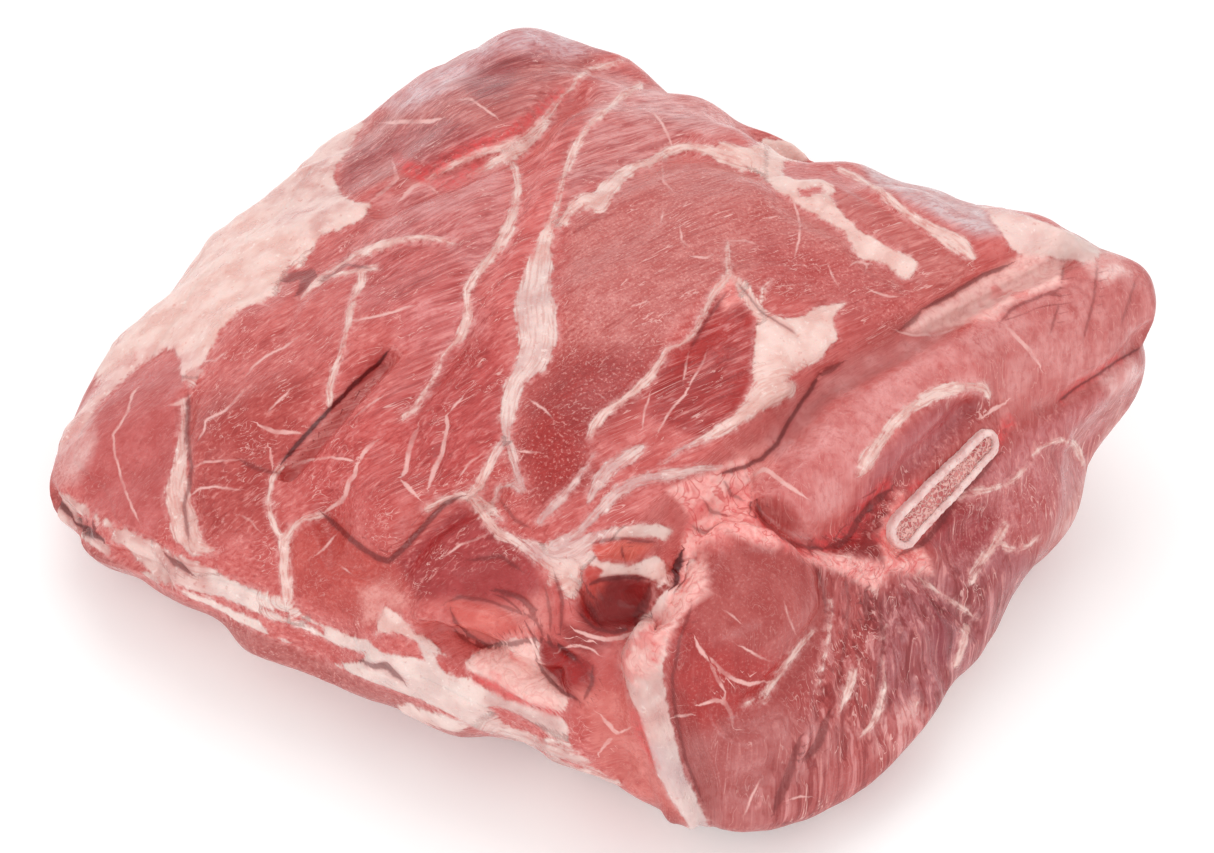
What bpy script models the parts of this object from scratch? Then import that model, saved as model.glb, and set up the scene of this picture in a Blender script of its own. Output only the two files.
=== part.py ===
"""A raw pork shoulder joint on the bone: a wedge-shaped block of lean meat with deep seams, on a
layer of fat and a lower layer of lean, with the sawn end of the blade bone in its right-hand side.

The front is -Y, the cut end with the bone is +X. The origin is on the table, in the middle of the
joint's plan. Lengths are in millimetres, and MM turns them into metres as each mesh is made.
"""
import math

import bmesh
import bpy
import numpy as np
from mathutils import Matrix, Vector

MM = 0.001
# The gap round the bone and round the marrow, and the gap between two layers of the meat
GAP = 0.4
LAYER_GAP = 0.8
SOLVER = "EXACT"

# The block: plan corners at its top and at its foot, and the height of each top corner
TOP_PLAN = {
    "left_front": (-134, -109),
    "right_front": (68, -78),
    "right_back": (137, 128),
    "left_back": (-125, 153),
}
FOOT_PLAN = {
    "left_front": (-130, -104),
    "right_front": (118, -90),
    "right_back": (112, 94),
    "left_back": (-120, 134),
}
TOP_HEIGHT = {"left_front": 46, "right_front": 92, "right_back": 92, "left_back": 62}
CROWN = 22
# How much of the rounded foot is cut flat, and the plan's middle, which becomes the origin
FLAT_FOOT = 2
PLAN_MIDDLE = (-16.3, 14.1)

# How far each side bows out between its corners, at the top and at the foot
BOW = {"front": (10, 7), "right": (-22, 20), "left": (22, 26), "back": (-14, -20)}

# Roundness of the edges: an exponent of 2 is a half circle, a larger one a sharper edge
PLAN_ROUNDNESS = 9.0
TOP_ROUNDNESS = {"right": 5.0, "left": 2.4, "front": 3.2, "back": 3.4}
FOOT_ROUNDNESS = {"right": 4.0, "left": 2.4, "front": 2.4, "back": 3.6}
SIDE_SHARPNESS = 3

# The two layers under the main lean: heights of their seams at the front, from left to right.
# The seam sags towards the left, rises round the left side, and tapers from u of 0.35 to the right end.
FAT_SEAM = 44
FAT_SEAM_AT_END = 13
FAT_THICKNESS = 11
FAT_THICKNESS_AT_END = 6
FAT_SEAM_SAG = 7
FAT_SEAM_RISE = 8
TAPER_START = 0.35
WRAP_START = 0.6

# Relief. Each plane has the axes it is drawn on and the direction in which it stands out.
# It starts where the cube's face is half turned to that plane and is full where it faces it.
PLANES = {
    "top": ((0, 1), (0.0, 0.0, 1.0)),
    "front": ((0, 2), (0.05, -0.95, 0.30)),
    "end": ((1, 2), (0.80, -0.19, 0.57)),
    "left": ((1, 2), (-0.93, 0.0, 0.37)),
}
FACING_FROM = 0.5
FACING_FULL = 0.9
# How quickly the relief fades away inside the block
SKIN_POWER = 24
# Seams, clefts and folds: their line, half their width, and their height (a groove's is below 0)
FOLDS = {
    "top": {
        "gash": (((-48, -38), (-50, -58), (-56, -76)), 4.6, -6),
        "left_front_seam": (((-98, -66), (-88, -80), (-76, -93)), 5, -2.5),
        "red_crease": (((-88, 20), (-76, 42), (-64, 58), (-68, 85)), 10, -5),
        "long_seam": (((-66, 62), (-52, 30), (-42, 0), (-33, -30), (-30, -58)), 10, -2.5),
        "main_seam": (((-22, 72), (-28, 45), (-33, 22), (-18, -2), (-4, -25), (2, -55)), 11, -2.2),
        "eye_rim": (((-22, 74), (0, 74), (20, 62), (45, 60), (63, 54)), 8, -2),
        "wedge_hollow": (((26, 16), (36, -10), (30, -32)), 9, -1.8),
        "end_valley": (((88, 92), (80, 66), (71, 40), (61, 11), (60, -19), (57, -44), (60, -67)), 9, -6),
        "slit": (((58, -50), (61, -68)), 6, -4),
        "front_fold": (((-38, -82), (-27, -88), (-9, -86), (-7, -74), (4, -62)), 7, -4.5),
    },
    "front": {
        "tongue": (((4, 62), (28, 63), (42, 67)), 6, 4),
        "hollow": (((8, 56), (26, 56), (42, 57)), 6, -6),
        "collar": (((63, 76), (65, 62), (73, 46), (81, 24)), 7, 3.5),
        "collar_groove": (((54, 78), (56, 58), (64, 34)), 6, -3),
        "corner_fold": (((-126, 29), (-105, 32), (-76, 36)), 4.5, -4),
    },
    "end": {
        "lobe_rim": (((-28, 79), (-26, 69), (-33, 58), (-50, 54), (-72, 51)), 5, -3.5),
        "cleft": (((-27, 81), (-28, 73), (-17, 67), (0, 66), (14, 71), (40, 73)), 5, -3.5),
        "fat_knot": (((-38, 80), (-24, 66), (-8, 57), (3, 51)), 6, 3),
        "middle_crease": (((0, 50), (1, 40), (7, 27)), 6, -3.5),
        "red_crease": (((60, 62), (84, 64), (100, 65)), 4.5, -2.5),
        "fat_line": (((20, 55), (40, 51), (60, 53), (67, 38)), 5, 1.2),
    },
}
# Muscles and hollows: centre, half lengths, and height (a hollow's is below 0)
LOBES = {
    "top": {
        "eye_muscle": ((10, 15), (44, 60), 3),
        "left_muscle": ((-74, -48), (27, 33), 3),
        "middle_muscle": ((-52, -8), (24, 38), 1.5),
        "hump": ((-92, 72), (22, 42), 4),
        "rim_muscle": ((48, 84), (34, 15), 2.5),
        "fat_patch": ((50, 13), (15, 14), 2),
        "front_muscle": ((-22, -76), (20, 12), 4),
        "pocket": ((50, -71), (17, 13), -9),
        "back_notch": ((-6, 110), (30, 26), -14),
        "back_rim": ((72, 106), (24, 18), 5),
        "left_back_corner": ((-106, 108), (18, 24), 6),
        "left_back_dip": ((-74, 112), (20, 16), -5),
    },
    "front": {
        "fringe": ((-32, 20), (14, 10), 2),
        "flap": ((-4, 13), (15, 8), 3),
        "left_undercut": ((-110, 15), (30, 20), -8),
        "middle_undercut": ((-70, 12), (26, 16), -5),
        "right_undercut": ((44, 13), (38, 17), -3),
        "right_foot": ((92, 18), (22, 20), 8),
    },
    "end": {
        "round_lobe": ((-52, 67), (26, 17), 6),
        "blade_muscle": ((8, 79), (38, 10), 4),
        "roll_foot": ((-19, 77), (10, 7), 2),
        "back_muscle": ((82, 76), (30, 13), 3),
        "low_back_muscle": ((40, 38), (38, 15), 2.5),
        "low_front_muscle": ((-40, 36), (38, 17), 2),
        "middle_foot": ((-18, 16), (18, 18), 4),
        "back_undercut": ((20, 16), (26, 16), -4),
        "back_hollow": ((82, 38), (26, 22), -5),
        "back_point": ((106, 68), (14, 12), 5),
    },
    "left": {
        "front_corner": ((-92, 14), (26, 20), -3),
        "middle_swell": ((-15, 44), (22, 24), 3),
        "fat_dip": ((20, 48), (18, 24), -2),
        "hump_dip": ((54, 50), (18, 24), -3),
        "hump_swell": ((84, 52), (20, 24), 4),
    },
}
# Fibres fan down from the fat knot: where they start and end, in the end's plane
FIBRES = 6
FIBRE_START = (-6, 50)
FIBRE_END = (-12, 18)
FIBRE_START_STEP = (-10, -0.5)
FIBRE_END_STEP = (-13, 3)
FIBRE_HALF_WIDTH = 3.2
FIBRE_DEPTH = 1.3

# Gentle unevenness all over: wave directions with their lengths, and the waves' height
WAVES = (((0.8, 0.5, 0.3), 47), ((-0.4, 0.8, 0.5), 38), ((0.3, -0.6, 0.8), 31), ((0.9, -0.3, -0.4), 26))
WAVE_HEIGHT = 0.9
WAVE_MIDDLE = (0, 20, 40)
WAVE_SPREAD = 100

# The blade bone: the front and back end of its sawn face, the direction in which that face rises, its
# thickness and the share of it at each end, its wall, and its length into the meat. The bone stands
# proud of the meat, and the marrow is sunk below the sawn face.
BONE_ENDS = ((94, -4, 59.5), (101, 41.5, 64.5))
BONE_RISE = (-8, -1, 11)
BONE_THICKNESS = 10.0
BONE_FRONT_SHARE = 1.06
BONE_BACK_SHARE = 0.86
BONE_WALL = 2.1
BONE_LENGTH = 22
BONE_PROUD = 1.2
MARROW_SUNK = 0.8
BONE_SIDES = 40
# How far the cutters reach beyond what they cut
POCKET_OUT = 15
HOLLOW_OUT = 5

# Each layer's grid, and the share of its triangles that is kept
LEAN_COLUMNS = 60
LEAN_ROWS = 20
LEAN_KEPT = 0.36
LAYER_COLUMNS = 44
FAT_ROWS = 3
FAT_KEPT = 0.25
LOWER_ROWS = 6
LOWER_KEPT = 0.20

COLOURS = {
    "lean": (0.50, 0.165, 0.150, 1),
    "fat": (0.80, 0.56, 0.51, 1),
    "lower_lean": (0.44, 0.155, 0.145, 1),
    "bone": (0.76, 0.50, 0.44, 1),
    "marrow": (0.52, 0.17, 0.15, 1),
}


def smooth(value, low, high):
    """0 below low, 1 above high, and an even slope between them."""
    share = np.clip((value - low) / (high - low), 0, 1)
    return share * share * (3 - 2 * share)


def between_corners(corners, u, v):
    """A value or a point given at the four corners, at u and v from -1 to 1."""
    shares = {
        "left_front": (1 - u) * (1 - v) / 4,
        "right_front": (1 + u) * (1 - v) / 4,
        "right_back": (1 + u) * (1 + v) / 4,
        "left_back": (1 - u) * (1 + v) / 4,
    }
    return sum(np.multiply.outer(share, corners[name]) for name, share in shares.items())


def side_shares(u, v, reach):
    """How much of each of the four sides a point belongs to."""
    towards = {"right": u, "left": -u, "front": -v, "back": v}
    shares = {name: np.maximum(value / reach, 0) ** SIDE_SHARPNESS for name, value in towards.items()}
    total = sum(shares.values()) + 1e-9
    return {name: share / total for name, share in shares.items()}


def block_height(u, v):
    return between_corners(TOP_HEIGHT, u, v) + CROWN * (1 - u * u) * (1 - v * v)


def plain_form(cube):
    """The block without its relief, from points of a cube that spans -1 to 1."""
    u, v, w = cube.T
    in_plan = (np.abs(u) ** PLAN_ROUNDNESS + np.abs(v) ** PLAN_ROUNDNESS) ** (1 / PLAN_ROUNDNESS)
    reach = np.maximum(in_plan, 1e-6)
    shares = side_shares(u, v, reach)
    top = sum(shares[name] * TOP_ROUNDNESS[name] for name in shares)
    foot = sum(shares[name] * FOOT_ROUNDNESS[name] for name in shares)
    power = np.maximum(np.where(w > 0, top, foot), 2)
    rounded = np.maximum((reach ** power + np.abs(w) ** power) ** (1 / power), 1e-9)
    u, v, w = (cube * (np.abs(cube).max(axis=1) / rounded)[:, None]).T

    rise = (w + 1) / 2
    at_foot = between_corners(FOOT_PLAN, u, v) * (1 - rise)[:, None]
    plan = at_foot + between_corners(TOP_PLAN, u, v) * rise[:, None]
    bow = {name: at_top * rise + low * (1 - rise) for name, (at_top, low) in BOW.items()}
    across = bow["right"] * np.maximum(u, 0) - bow["left"] * np.maximum(-u, 0)
    along = bow["back"] * np.maximum(v, 0) - bow["front"] * np.maximum(-v, 0)
    plan[:, 0] += across * (1 - v * v)
    plan[:, 1] += along * (1 - u * u)
    height = block_height(u, v) * rise - FLAT_FOOT
    return np.column_stack([plan, height])


def line_distance(points, line):
    """Distance from each 2-D point to a line of straight pieces."""
    nearest = np.full(len(points), np.inf)
    for start, end in zip(np.array(line[:-1], float), np.array(line[1:], float)):
        along = end - start
        share = np.clip((points - start) @ along / (along @ along), 0, 1)
        nearest = np.minimum(nearest, np.linalg.norm(points - start - share[:, None] * along, axis=1))
    return nearest


def bump(distance):
    """1 in the middle, falling evenly to 0 at a distance of 1."""
    return np.clip(1 - distance ** 2, 0, 1) ** 2


def plane_relief(plane, points):
    """Height of all the relief that is drawn on one plane."""
    height = np.zeros(len(points))
    for line, half_width, fold_height in FOLDS.get(plane, {}).values():
        height += fold_height * bump(line_distance(points, line) / half_width)
    for centre, half_lengths, lobe_height in LOBES[plane].values():
        height += lobe_height * bump(np.linalg.norm((points - centre) / half_lengths, axis=1))
    if plane == "end":
        for number in range(FIBRES):
            start = np.add(FIBRE_START, np.multiply(FIBRE_START_STEP, number))
            end = np.add(FIBRE_END, np.multiply(FIBRE_END_STEP, number))
            height -= FIBRE_DEPTH * bump(line_distance(points, (start, end)) / FIBRE_HALF_WIDTH)
    return height


def form(cube):
    """The joint's shape with its relief: the relief is full on the skin and fades away inside."""
    points = plain_form(cube)
    reach = np.maximum(np.abs(cube).max(axis=1), 1e-6)
    on_skin = reach ** SKIN_POWER
    facing = {"top": cube[:, 2], "front": -cube[:, 1], "end": cube[:, 0], "left": -cube[:, 0]}
    moved = points.copy()
    for plane, (axes, direction) in PLANES.items():
        share = smooth(facing[plane] / reach, FACING_FROM, FACING_FULL) * on_skin
        moved += np.multiply.outer(plane_relief(plane, points[:, axes]) * share, direction)
    for direction, length in WAVES:
        wave = np.sin(points @ direction * math.tau / length) * WAVE_HEIGHT * on_skin
        moved += (points - WAVE_MIDDLE) / WAVE_SPREAD * wave[:, None]
    moved[:, 2] = np.maximum(moved[:, 2], 0)
    moved[:, :2] -= PLAN_MIDDLE
    return moved


def seam_levels(u, v):
    """Where the main lean ends, where the fat ends, and half a layer gap, in the block's w at u and v."""
    taper = 1 - smooth(u, TAPER_START, 1.0)
    wrap = smooth(-u, WRAP_START, 1.0) * (1 - v * v)
    fat_top = FAT_SEAM_AT_END + (FAT_SEAM - FAT_SEAM_AT_END) * taper
    fat_top += FAT_SEAM_RISE * wrap - FAT_SEAM_SAG * np.maximum(-u, 0) ** 2
    thickness = FAT_THICKNESS_AT_END + (FAT_THICKNESS - FAT_THICKNESS_AT_END) * taper
    height = block_height(u, v)
    top_level = 2 * (fat_top + FLAT_FOOT) / height - 1
    foot_level = top_level - 2 * thickness / height
    return top_level, foot_level, LAYER_GAP / height


def lean_levels(u, v):
    fat_top, _, half_gap = seam_levels(u, v)
    return fat_top + half_gap, np.ones_like(u)


def fat_levels(u, v):
    fat_top, fat_foot, half_gap = seam_levels(u, v)
    return fat_foot + half_gap, fat_top - half_gap


def lower_lean_levels(u, v):
    _, fat_foot, half_gap = seam_levels(u, v)
    return -np.ones_like(u), fat_foot - half_gap


def make_material(name, roughness):
    material = bpy.data.materials.new(name)
    material.use_nodes = True
    shader = material.node_tree.nodes["Principled BSDF"]
    shader.inputs["Base Color"].default_value = COLOURS[name]
    shader.inputs["Roughness"].default_value = roughness
    return material


def add_object(name, mesh_data, material, collection):
    mesh = bpy.data.meshes.new(name)
    mesh_data.to_mesh(mesh)
    mesh_data.free()
    mesh.shade_smooth()
    if material:
        mesh.materials.append(material)
    made = bpy.data.objects.new(name, mesh)
    collection.objects.link(made)
    return made


def make_layer(name, levels, columns, rows, material, collection):
    """One layer of the block: a cube, cut into a grid and bent to the joint's form."""
    grid = bmesh.new()
    bmesh.ops.create_cube(grid, size=2)
    upright = [edge for edge in grid.edges if abs(edge.verts[0].co.z - edge.verts[1].co.z) > 1]
    bmesh.ops.subdivide_edges(grid, edges=upright, cuts=rows - 1)
    level = [edge for edge in grid.edges if abs(edge.verts[0].co.z - edge.verts[1].co.z) < 1e-6]
    bmesh.ops.subdivide_edges(grid, edges=level, cuts=columns - 1, use_grid_fill=True)
    cube = np.array([vertex.co for vertex in grid.verts])
    low, high = levels(cube[:, 0], cube[:, 1])
    cube[:, 2] = low + (high - low) * (cube[:, 2] + 1) / 2
    for vertex, place in zip(grid.verts, form(cube) * MM):
        vertex.co = place
    return add_object(name, grid, material, collection)


def thin_out(made, share):
    """Fewer triangles where the surface is even."""
    modifier = made.modifiers.new("thin_out", "DECIMATE")
    modifier.ratio = share
    modifier.use_collapse_triangulate = True


def cut(made, cutter):
    modifier = made.modifiers.new("cut_" + cutter.name, "BOOLEAN")
    modifier.operation = "DIFFERENCE"
    modifier.solver = SOLVER
    modifier.object = cutter


def bone_frame():
    """The sawn face's middle as a matrix: X along the face, Y up it and Z out of it."""
    ends = [Vector(end) for end in BONE_ENDS]
    along = (ends[1] - ends[0]).normalized()
    outward = along.cross(Vector(BONE_RISE)).normalized()
    upward = outward.cross(along)
    middle = (ends[0] + ends[1]) / 2 - Vector((*PLAN_MIDDLE, 0))
    turn = Matrix((along, upward, outward)).transposed().to_4x4()
    return Matrix.Translation(middle * MM) @ turn


def bone_outline(margin):
    """A flat oval, thicker at its front end, grown by a margin."""
    half_length = (Vector(BONE_ENDS[1]) - Vector(BONE_ENDS[0])).length / 2
    radius = BONE_THICKNESS / 2
    outline = []
    for number in range(BONE_SIDES):
        angle = math.tau * (number + 0.5) / BONE_SIDES
        side = math.copysign(half_length - radius, math.cos(angle))
        share = BONE_FRONT_SHARE if side < 0 else BONE_BACK_SHARE
        grown = radius * share + margin
        outline.append((side + grown * math.cos(angle), grown * math.sin(angle)))
    return outline


def make_prism(name, outline, out, depth, material, collection):
    """An outline on the bone's sawn face, from out above the face to depth below it."""
    prism = bmesh.new()
    corners = [prism.verts.new((x * MM, y * MM, -depth * MM)) for x, y in outline]
    base = prism.faces.new(corners)
    base.normal_flip()
    raised = bmesh.ops.extrude_face_region(prism, geom=[base])
    lifted = [item for item in raised["geom"] if isinstance(item, bmesh.types.BMVert)]
    bmesh.ops.translate(prism, verts=lifted, vec=(0, 0, (out + depth) * MM))
    bmesh.ops.recalc_face_normals(prism, faces=prism.faces)
    made = add_object(name, prism, material, collection)
    made.matrix_world = bone_frame()
    made.data.set_sharp_from_angle(angle=math.radians(40))
    return made


def make_collection(name):
    collection = bpy.data.collections.new(name)
    bpy.context.scene.collection.children.link(collection)
    return collection


def hide(cutter):
    cutter.hide_render = True
    cutter.display_type = "WIRE"


def build_meat(joint, cutters):
    lean = make_material("lean", 0.42)
    fat = make_material("fat", 0.48)
    lower = make_material("lower_lean", 0.45)
    meat = make_layer("shoulder_meat", lean_levels, LEAN_COLUMNS, LEAN_ROWS, lean, joint)
    thin_out(meat, LEAN_KEPT)
    cap = make_layer("fat_cap", fat_levels, LAYER_COLUMNS, FAT_ROWS, fat, joint)
    thin_out(cap, FAT_KEPT)
    foot = make_layer("lower_lean", lower_lean_levels, LAYER_COLUMNS, LOWER_ROWS, lower, joint)
    thin_out(foot, LOWER_KEPT)
    pocket = make_prism("bone_pocket", bone_outline(GAP), POCKET_OUT, BONE_LENGTH + GAP, None, cutters)
    hide(pocket)
    cut(meat, pocket)


def build_bone(joint, cutters):
    bone = make_prism("blade_bone", bone_outline(0), BONE_PROUD, BONE_LENGTH,
                      make_material("bone", 0.5), joint)
    hollow = make_prism("bone_hollow", bone_outline(-BONE_WALL), HOLLOW_OUT,
                        BONE_LENGTH + HOLLOW_OUT, None, cutters)
    hide(hollow)
    cut(bone, hollow)
    make_prism("bone_marrow", bone_outline(-BONE_WALL - GAP), BONE_PROUD - MARROW_SUNK, BONE_LENGTH,
               make_material("marrow", 0.6), joint)


def main():
    for left_over in list(bpy.data.objects):
        bpy.data.objects.remove(left_over, do_unlink=True)
    joint = make_collection("pork_shoulder_joint")
    cutters = make_collection("cutters")
    build_meat(joint, cutters)
    build_bone(joint, cutters)


main()
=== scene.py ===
import math

import bpy
import numpy as np
from mathutils import Matrix, Vector


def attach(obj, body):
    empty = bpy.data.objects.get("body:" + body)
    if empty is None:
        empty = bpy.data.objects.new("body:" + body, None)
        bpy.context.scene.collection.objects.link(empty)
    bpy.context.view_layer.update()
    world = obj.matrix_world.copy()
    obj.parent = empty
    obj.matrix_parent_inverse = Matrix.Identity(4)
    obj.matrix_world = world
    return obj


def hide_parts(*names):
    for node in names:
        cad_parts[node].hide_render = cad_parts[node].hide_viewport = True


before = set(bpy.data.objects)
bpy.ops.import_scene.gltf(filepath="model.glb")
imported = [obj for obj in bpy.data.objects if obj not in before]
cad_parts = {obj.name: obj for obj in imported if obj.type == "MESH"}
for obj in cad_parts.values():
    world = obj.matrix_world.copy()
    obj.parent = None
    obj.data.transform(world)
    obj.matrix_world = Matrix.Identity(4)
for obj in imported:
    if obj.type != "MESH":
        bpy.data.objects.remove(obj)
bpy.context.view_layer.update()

MM = 0.001

# The photograph's camera, in millimetres and degrees. Places marked as pixels are on its image.
IMAGE_WIDTH = 1214
IMAGE_HEIGHT = 853
LENS = 85
SENSOR = 36
AZIMUTH = 33
ELEVATION = 48
CAMERA_DISTANCE = 817
CAMERA_TARGET = (16.3, -14.1, 45)
PIXEL_MM = 0.285

# How finely the skin is divided: squares along each side of the top, and rows down the sides
GRID = 208
LEAN_ROWS = 46
FAT_ROWS = 9
LOWER_ROWS = 22
INNER_RINGS = (0.97, 0.9, 0.7, 0.4, 0.15)

# The block: plan corners at its top and at its foot, and the height of each top corner
TOP_PLAN = {
    "left_front": (-134, -109),
    "right_front": (68, -78),
    "right_back": (137, 128),
    "left_back": (-125, 153),
}
FOOT_PLAN = {
    "left_front": (-130, -104),
    "right_front": (118, -90),
    "right_back": (112, 94),
    "left_back": (-120, 134),
}
TOP_HEIGHT = {"left_front": 46, "right_front": 92, "right_back": 92, "left_back": 62}
CROWN = 22
FLAT_FOOT = 2
PLAN_MIDDLE = (-16.3, 14.1)
BOW = {"front": (10, 7), "right": (-22, 20), "left": (22, 26), "back": (-14, -20)}
PLAN_ROUNDNESS = 9.0
TOP_ROUNDNESS = {"right": 5.0, "left": 2.4, "front": 3.2, "back": 3.4}
FOOT_ROUNDNESS = {"right": 4.0, "left": 2.4, "front": 2.4, "back": 3.6}
SIDE_SHARPNESS = 3

# The seams of the fat layer, as heights at the front. It tapers to the right and wraps round the left.
FAT_SEAM = 44
FAT_SEAM_AT_END = 13
FAT_THICKNESS = 11
FAT_THICKNESS_AT_END = 6
FAT_SEAM_SAG = 7
FAT_SEAM_RISE = 8
TAPER_START = 0.35
WRAP_START = 0.6

# Relief. Each plane has the axes it is drawn on and the direction in which it stands out.
PLANES = {
    "top": ((0, 1), (0.0, 0.0, 1.0)),
    "front": ((0, 2), (0.05, -0.95, 0.30)),
    "end": ((1, 2), (0.80, -0.19, 0.57)),
    "left": ((1, 2), (-0.93, 0.0, 0.37)),
}
FACING_FROM = 0.5
FACING_FULL = 0.9
# How quickly the relief fades away inside the block
SKIN_POWER = 24

# Seams, clefts and folds: their line, half their width, and their height (a groove's is below 0)
FOLDS = {
    "top": {
        "gash": (((-48, -38), (-50, -58), (-56, -76)), 4.6, -6),
        "left_front_seam": (((-98, -66), (-88, -80), (-76, -93)), 5, -2.5),
        "red_crease": (((-88, 20), (-76, 42), (-64, 58), (-68, 85)), 10, -5),
        "long_seam": (((-66, 62), (-52, 30), (-42, 0), (-33, -30), (-30, -58)), 10, -2.5),
        "main_seam": (((-22, 72), (-28, 45), (-33, 22), (-18, -2), (-4, -25), (2, -55)), 11, -2.2),
        "eye_rim": (((-22, 74), (0, 74), (20, 62), (45, 60), (63, 54)), 8, -2),
        "wedge_hollow": (((26, 16), (36, -10), (30, -32)), 9, -1.8),
        "end_valley": (((88, 92), (80, 66), (71, 40), (61, 11), (60, -19), (57, -44), (60, -67)), 9, -6),
        "slit": (((58, -50), (61, -68)), 6, -4),
        "front_fold": (((-38, -82), (-27, -88), (-9, -86), (-7, -74), (4, -62)), 7, -4.5),
    },
    "front": {
        "tongue": (((4, 62), (28, 63), (42, 67)), 6, 4),
        "hollow": (((8, 56), (26, 56), (42, 57)), 6, -6),
        "collar": (((63, 76), (65, 62), (73, 46), (81, 24)), 7, 3.5),
        "collar_groove": (((54, 78), (56, 58), (64, 34)), 6, -3),
        "corner_fold": (((-126, 29), (-105, 32), (-76, 36)), 4.5, -4),
    },
    "end": {
        "lobe_rim": (((-28, 79), (-26, 69), (-33, 58), (-50, 54), (-72, 51)), 5, -3.5),
        "cleft": (((-27, 81), (-28, 73), (-17, 67), (0, 66), (14, 71), (40, 73)), 5, -3.5),
        "fat_knot": (((-38, 80), (-24, 66), (-8, 57), (3, 51)), 6, 3),
        "middle_crease": (((0, 50), (1, 40), (7, 27)), 6, -3.5),
        "red_crease": (((60, 62), (84, 64), (100, 65)), 4.5, -2.5),
        "fat_line": (((20, 55), (40, 51), (60, 53), (67, 38)), 5, 1.2),
    },
    "left": {},
}
# Muscles and hollows: centre, half lengths, and height (a hollow's is below 0)
LOBES = {
    "top": {
        "eye_muscle": ((10, 15), (44, 60), 3),
        "left_muscle": ((-74, -48), (27, 33), 3),
        "middle_muscle": ((-52, -8), (24, 38), 1.5),
        "hump": ((-92, 72), (22, 42), 4),
        "rim_muscle": ((48, 84), (34, 15), 2.5),
        "fat_patch": ((50, 13), (15, 14), 2),
        "front_muscle": ((-22, -76), (20, 12), 4),
        "pocket": ((50, -71), (17, 13), -9),
        "back_notch": ((-6, 110), (30, 26), -14),
        "back_rim": ((72, 106), (24, 18), 5),
        "left_back_corner": ((-106, 108), (18, 24), 6),
        "left_back_dip": ((-74, 112), (20, 16), -5),
    },
    "front": {
        "fringe": ((-32, 20), (14, 10), 2),
        "flap": ((-4, 13), (15, 8), 3),
        "left_undercut": ((-110, 15), (30, 20), -8),
        "middle_undercut": ((-70, 12), (26, 16), -5),
        "right_undercut": ((44, 13), (38, 17), -3),
        "right_foot": ((92, 18), (22, 20), 8),
    },
    "end": {
        "round_lobe": ((-52, 67), (26, 17), 6),
        "blade_muscle": ((8, 79), (38, 10), 4),
        "roll_foot": ((-19, 77), (10, 7), 2),
        "back_muscle": ((82, 76), (30, 13), 3),
        "low_back_muscle": ((40, 38), (38, 15), 2.5),
        "low_front_muscle": ((-40, 36), (38, 17), 2),
        "middle_foot": ((-18, 16), (18, 18), 4),
        "back_undercut": ((20, 16), (26, 16), -4),
        "back_hollow": ((82, 38), (26, 22), -5),
        "back_point": ((106, 68), (14, 12), 5),
    },
    "left": {
        "front_corner": ((-92, 14), (26, 20), -3),
        "middle_swell": ((-15, 44), (22, 24), 3),
        "fat_dip": ((20, 48), (18, 24), -2),
        "hump_dip": ((54, 50), (18, 24), -3),
        "hump_swell": ((84, 52), (20, 24), 4),
    },
}
# Grooves between the coarse fibres of the end: how many, where the first starts and ends, and the step
FIBRES = 6
FIBRE_START = (-6, 50)
FIBRE_END = (-12, 18)
FIBRE_START_STEP = (-10, -0.5)
FIBRE_END_STEP = (-13, 3)
FIBRE_HALF_WIDTH = 3.2
FIBRE_DEPTH = 1.3
# Gentle unevenness all over: wave directions with their lengths, and the waves' height
WAVES = (((0.8, 0.5, 0.3), 47), ((-0.4, 0.8, 0.5), 38), ((0.3, -0.6, 0.8), 31), ((0.9, -0.3, -0.4), 26))
WAVE_HEIGHT = 0.9
WAVE_MIDDLE = (0, 20, 40)
WAVE_SPREAD = 100

# The blade bone: the ends of its sawn face, the direction in which that face rises, its thickness with
# the share of it at each end, its wall and its length. The meat is flattened round it.
BONE_ENDS = ((94, -4, 59.5), (101, 41.5, 64.5))
BONE_RISE = (-8, -1, 11)
BONE_THICKNESS = 10.0
BONE_FRONT_SHARE = 1.06
BONE_BACK_SHARE = 0.86
BONE_WALL = 2.1
BONE_LENGTH = 22
BONE_PROUD = 1.2
MARROW_SUNK = 0.8
BONE_SIDES = 120
BONE_SEAT = -1.2
BONE_SEAT_RIM = 0.5
BONE_SEAT_REACH = 5
BONE_SEAT_DEPTH = 15
# Going round the bone: the turn and the place along it at each end of its two round ends
BONE_TURNS = (0, 0.25, 0.25, 0.75, 0.75, 1)
BONE_PLACES = (0.5, 0.5, -0.5, -0.5, 0.5, 0.5)
# The sawn edge's waves: how many go round, their start and their share
BONE_WAVES = ((4, 1, 1.0), (11, 0, 0.6), (37, 2, 0.7), (59, 0, 0.5))
# The bone's and the marrow's rings: how far out from the bone's side or from its wall's inside, the height
# over the meat, and how ragged the ring is
BONE_RIM = ((-0.6, 0.05, 0.10), (-0.2, -0.25, 0.13), (0, -0.9, 0.13))
WALL_RIM = ((0, -0.5, 0.16), (0.4, 0, 0.14), (1.0, 0.1, 0.10))
MARROW_GAP = 0.1
MARROW_RIM = ((-1.6, 0.2, 0.05), (-0.8, 0.1, 0.10), (0, -0.2, 0.16))

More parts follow.
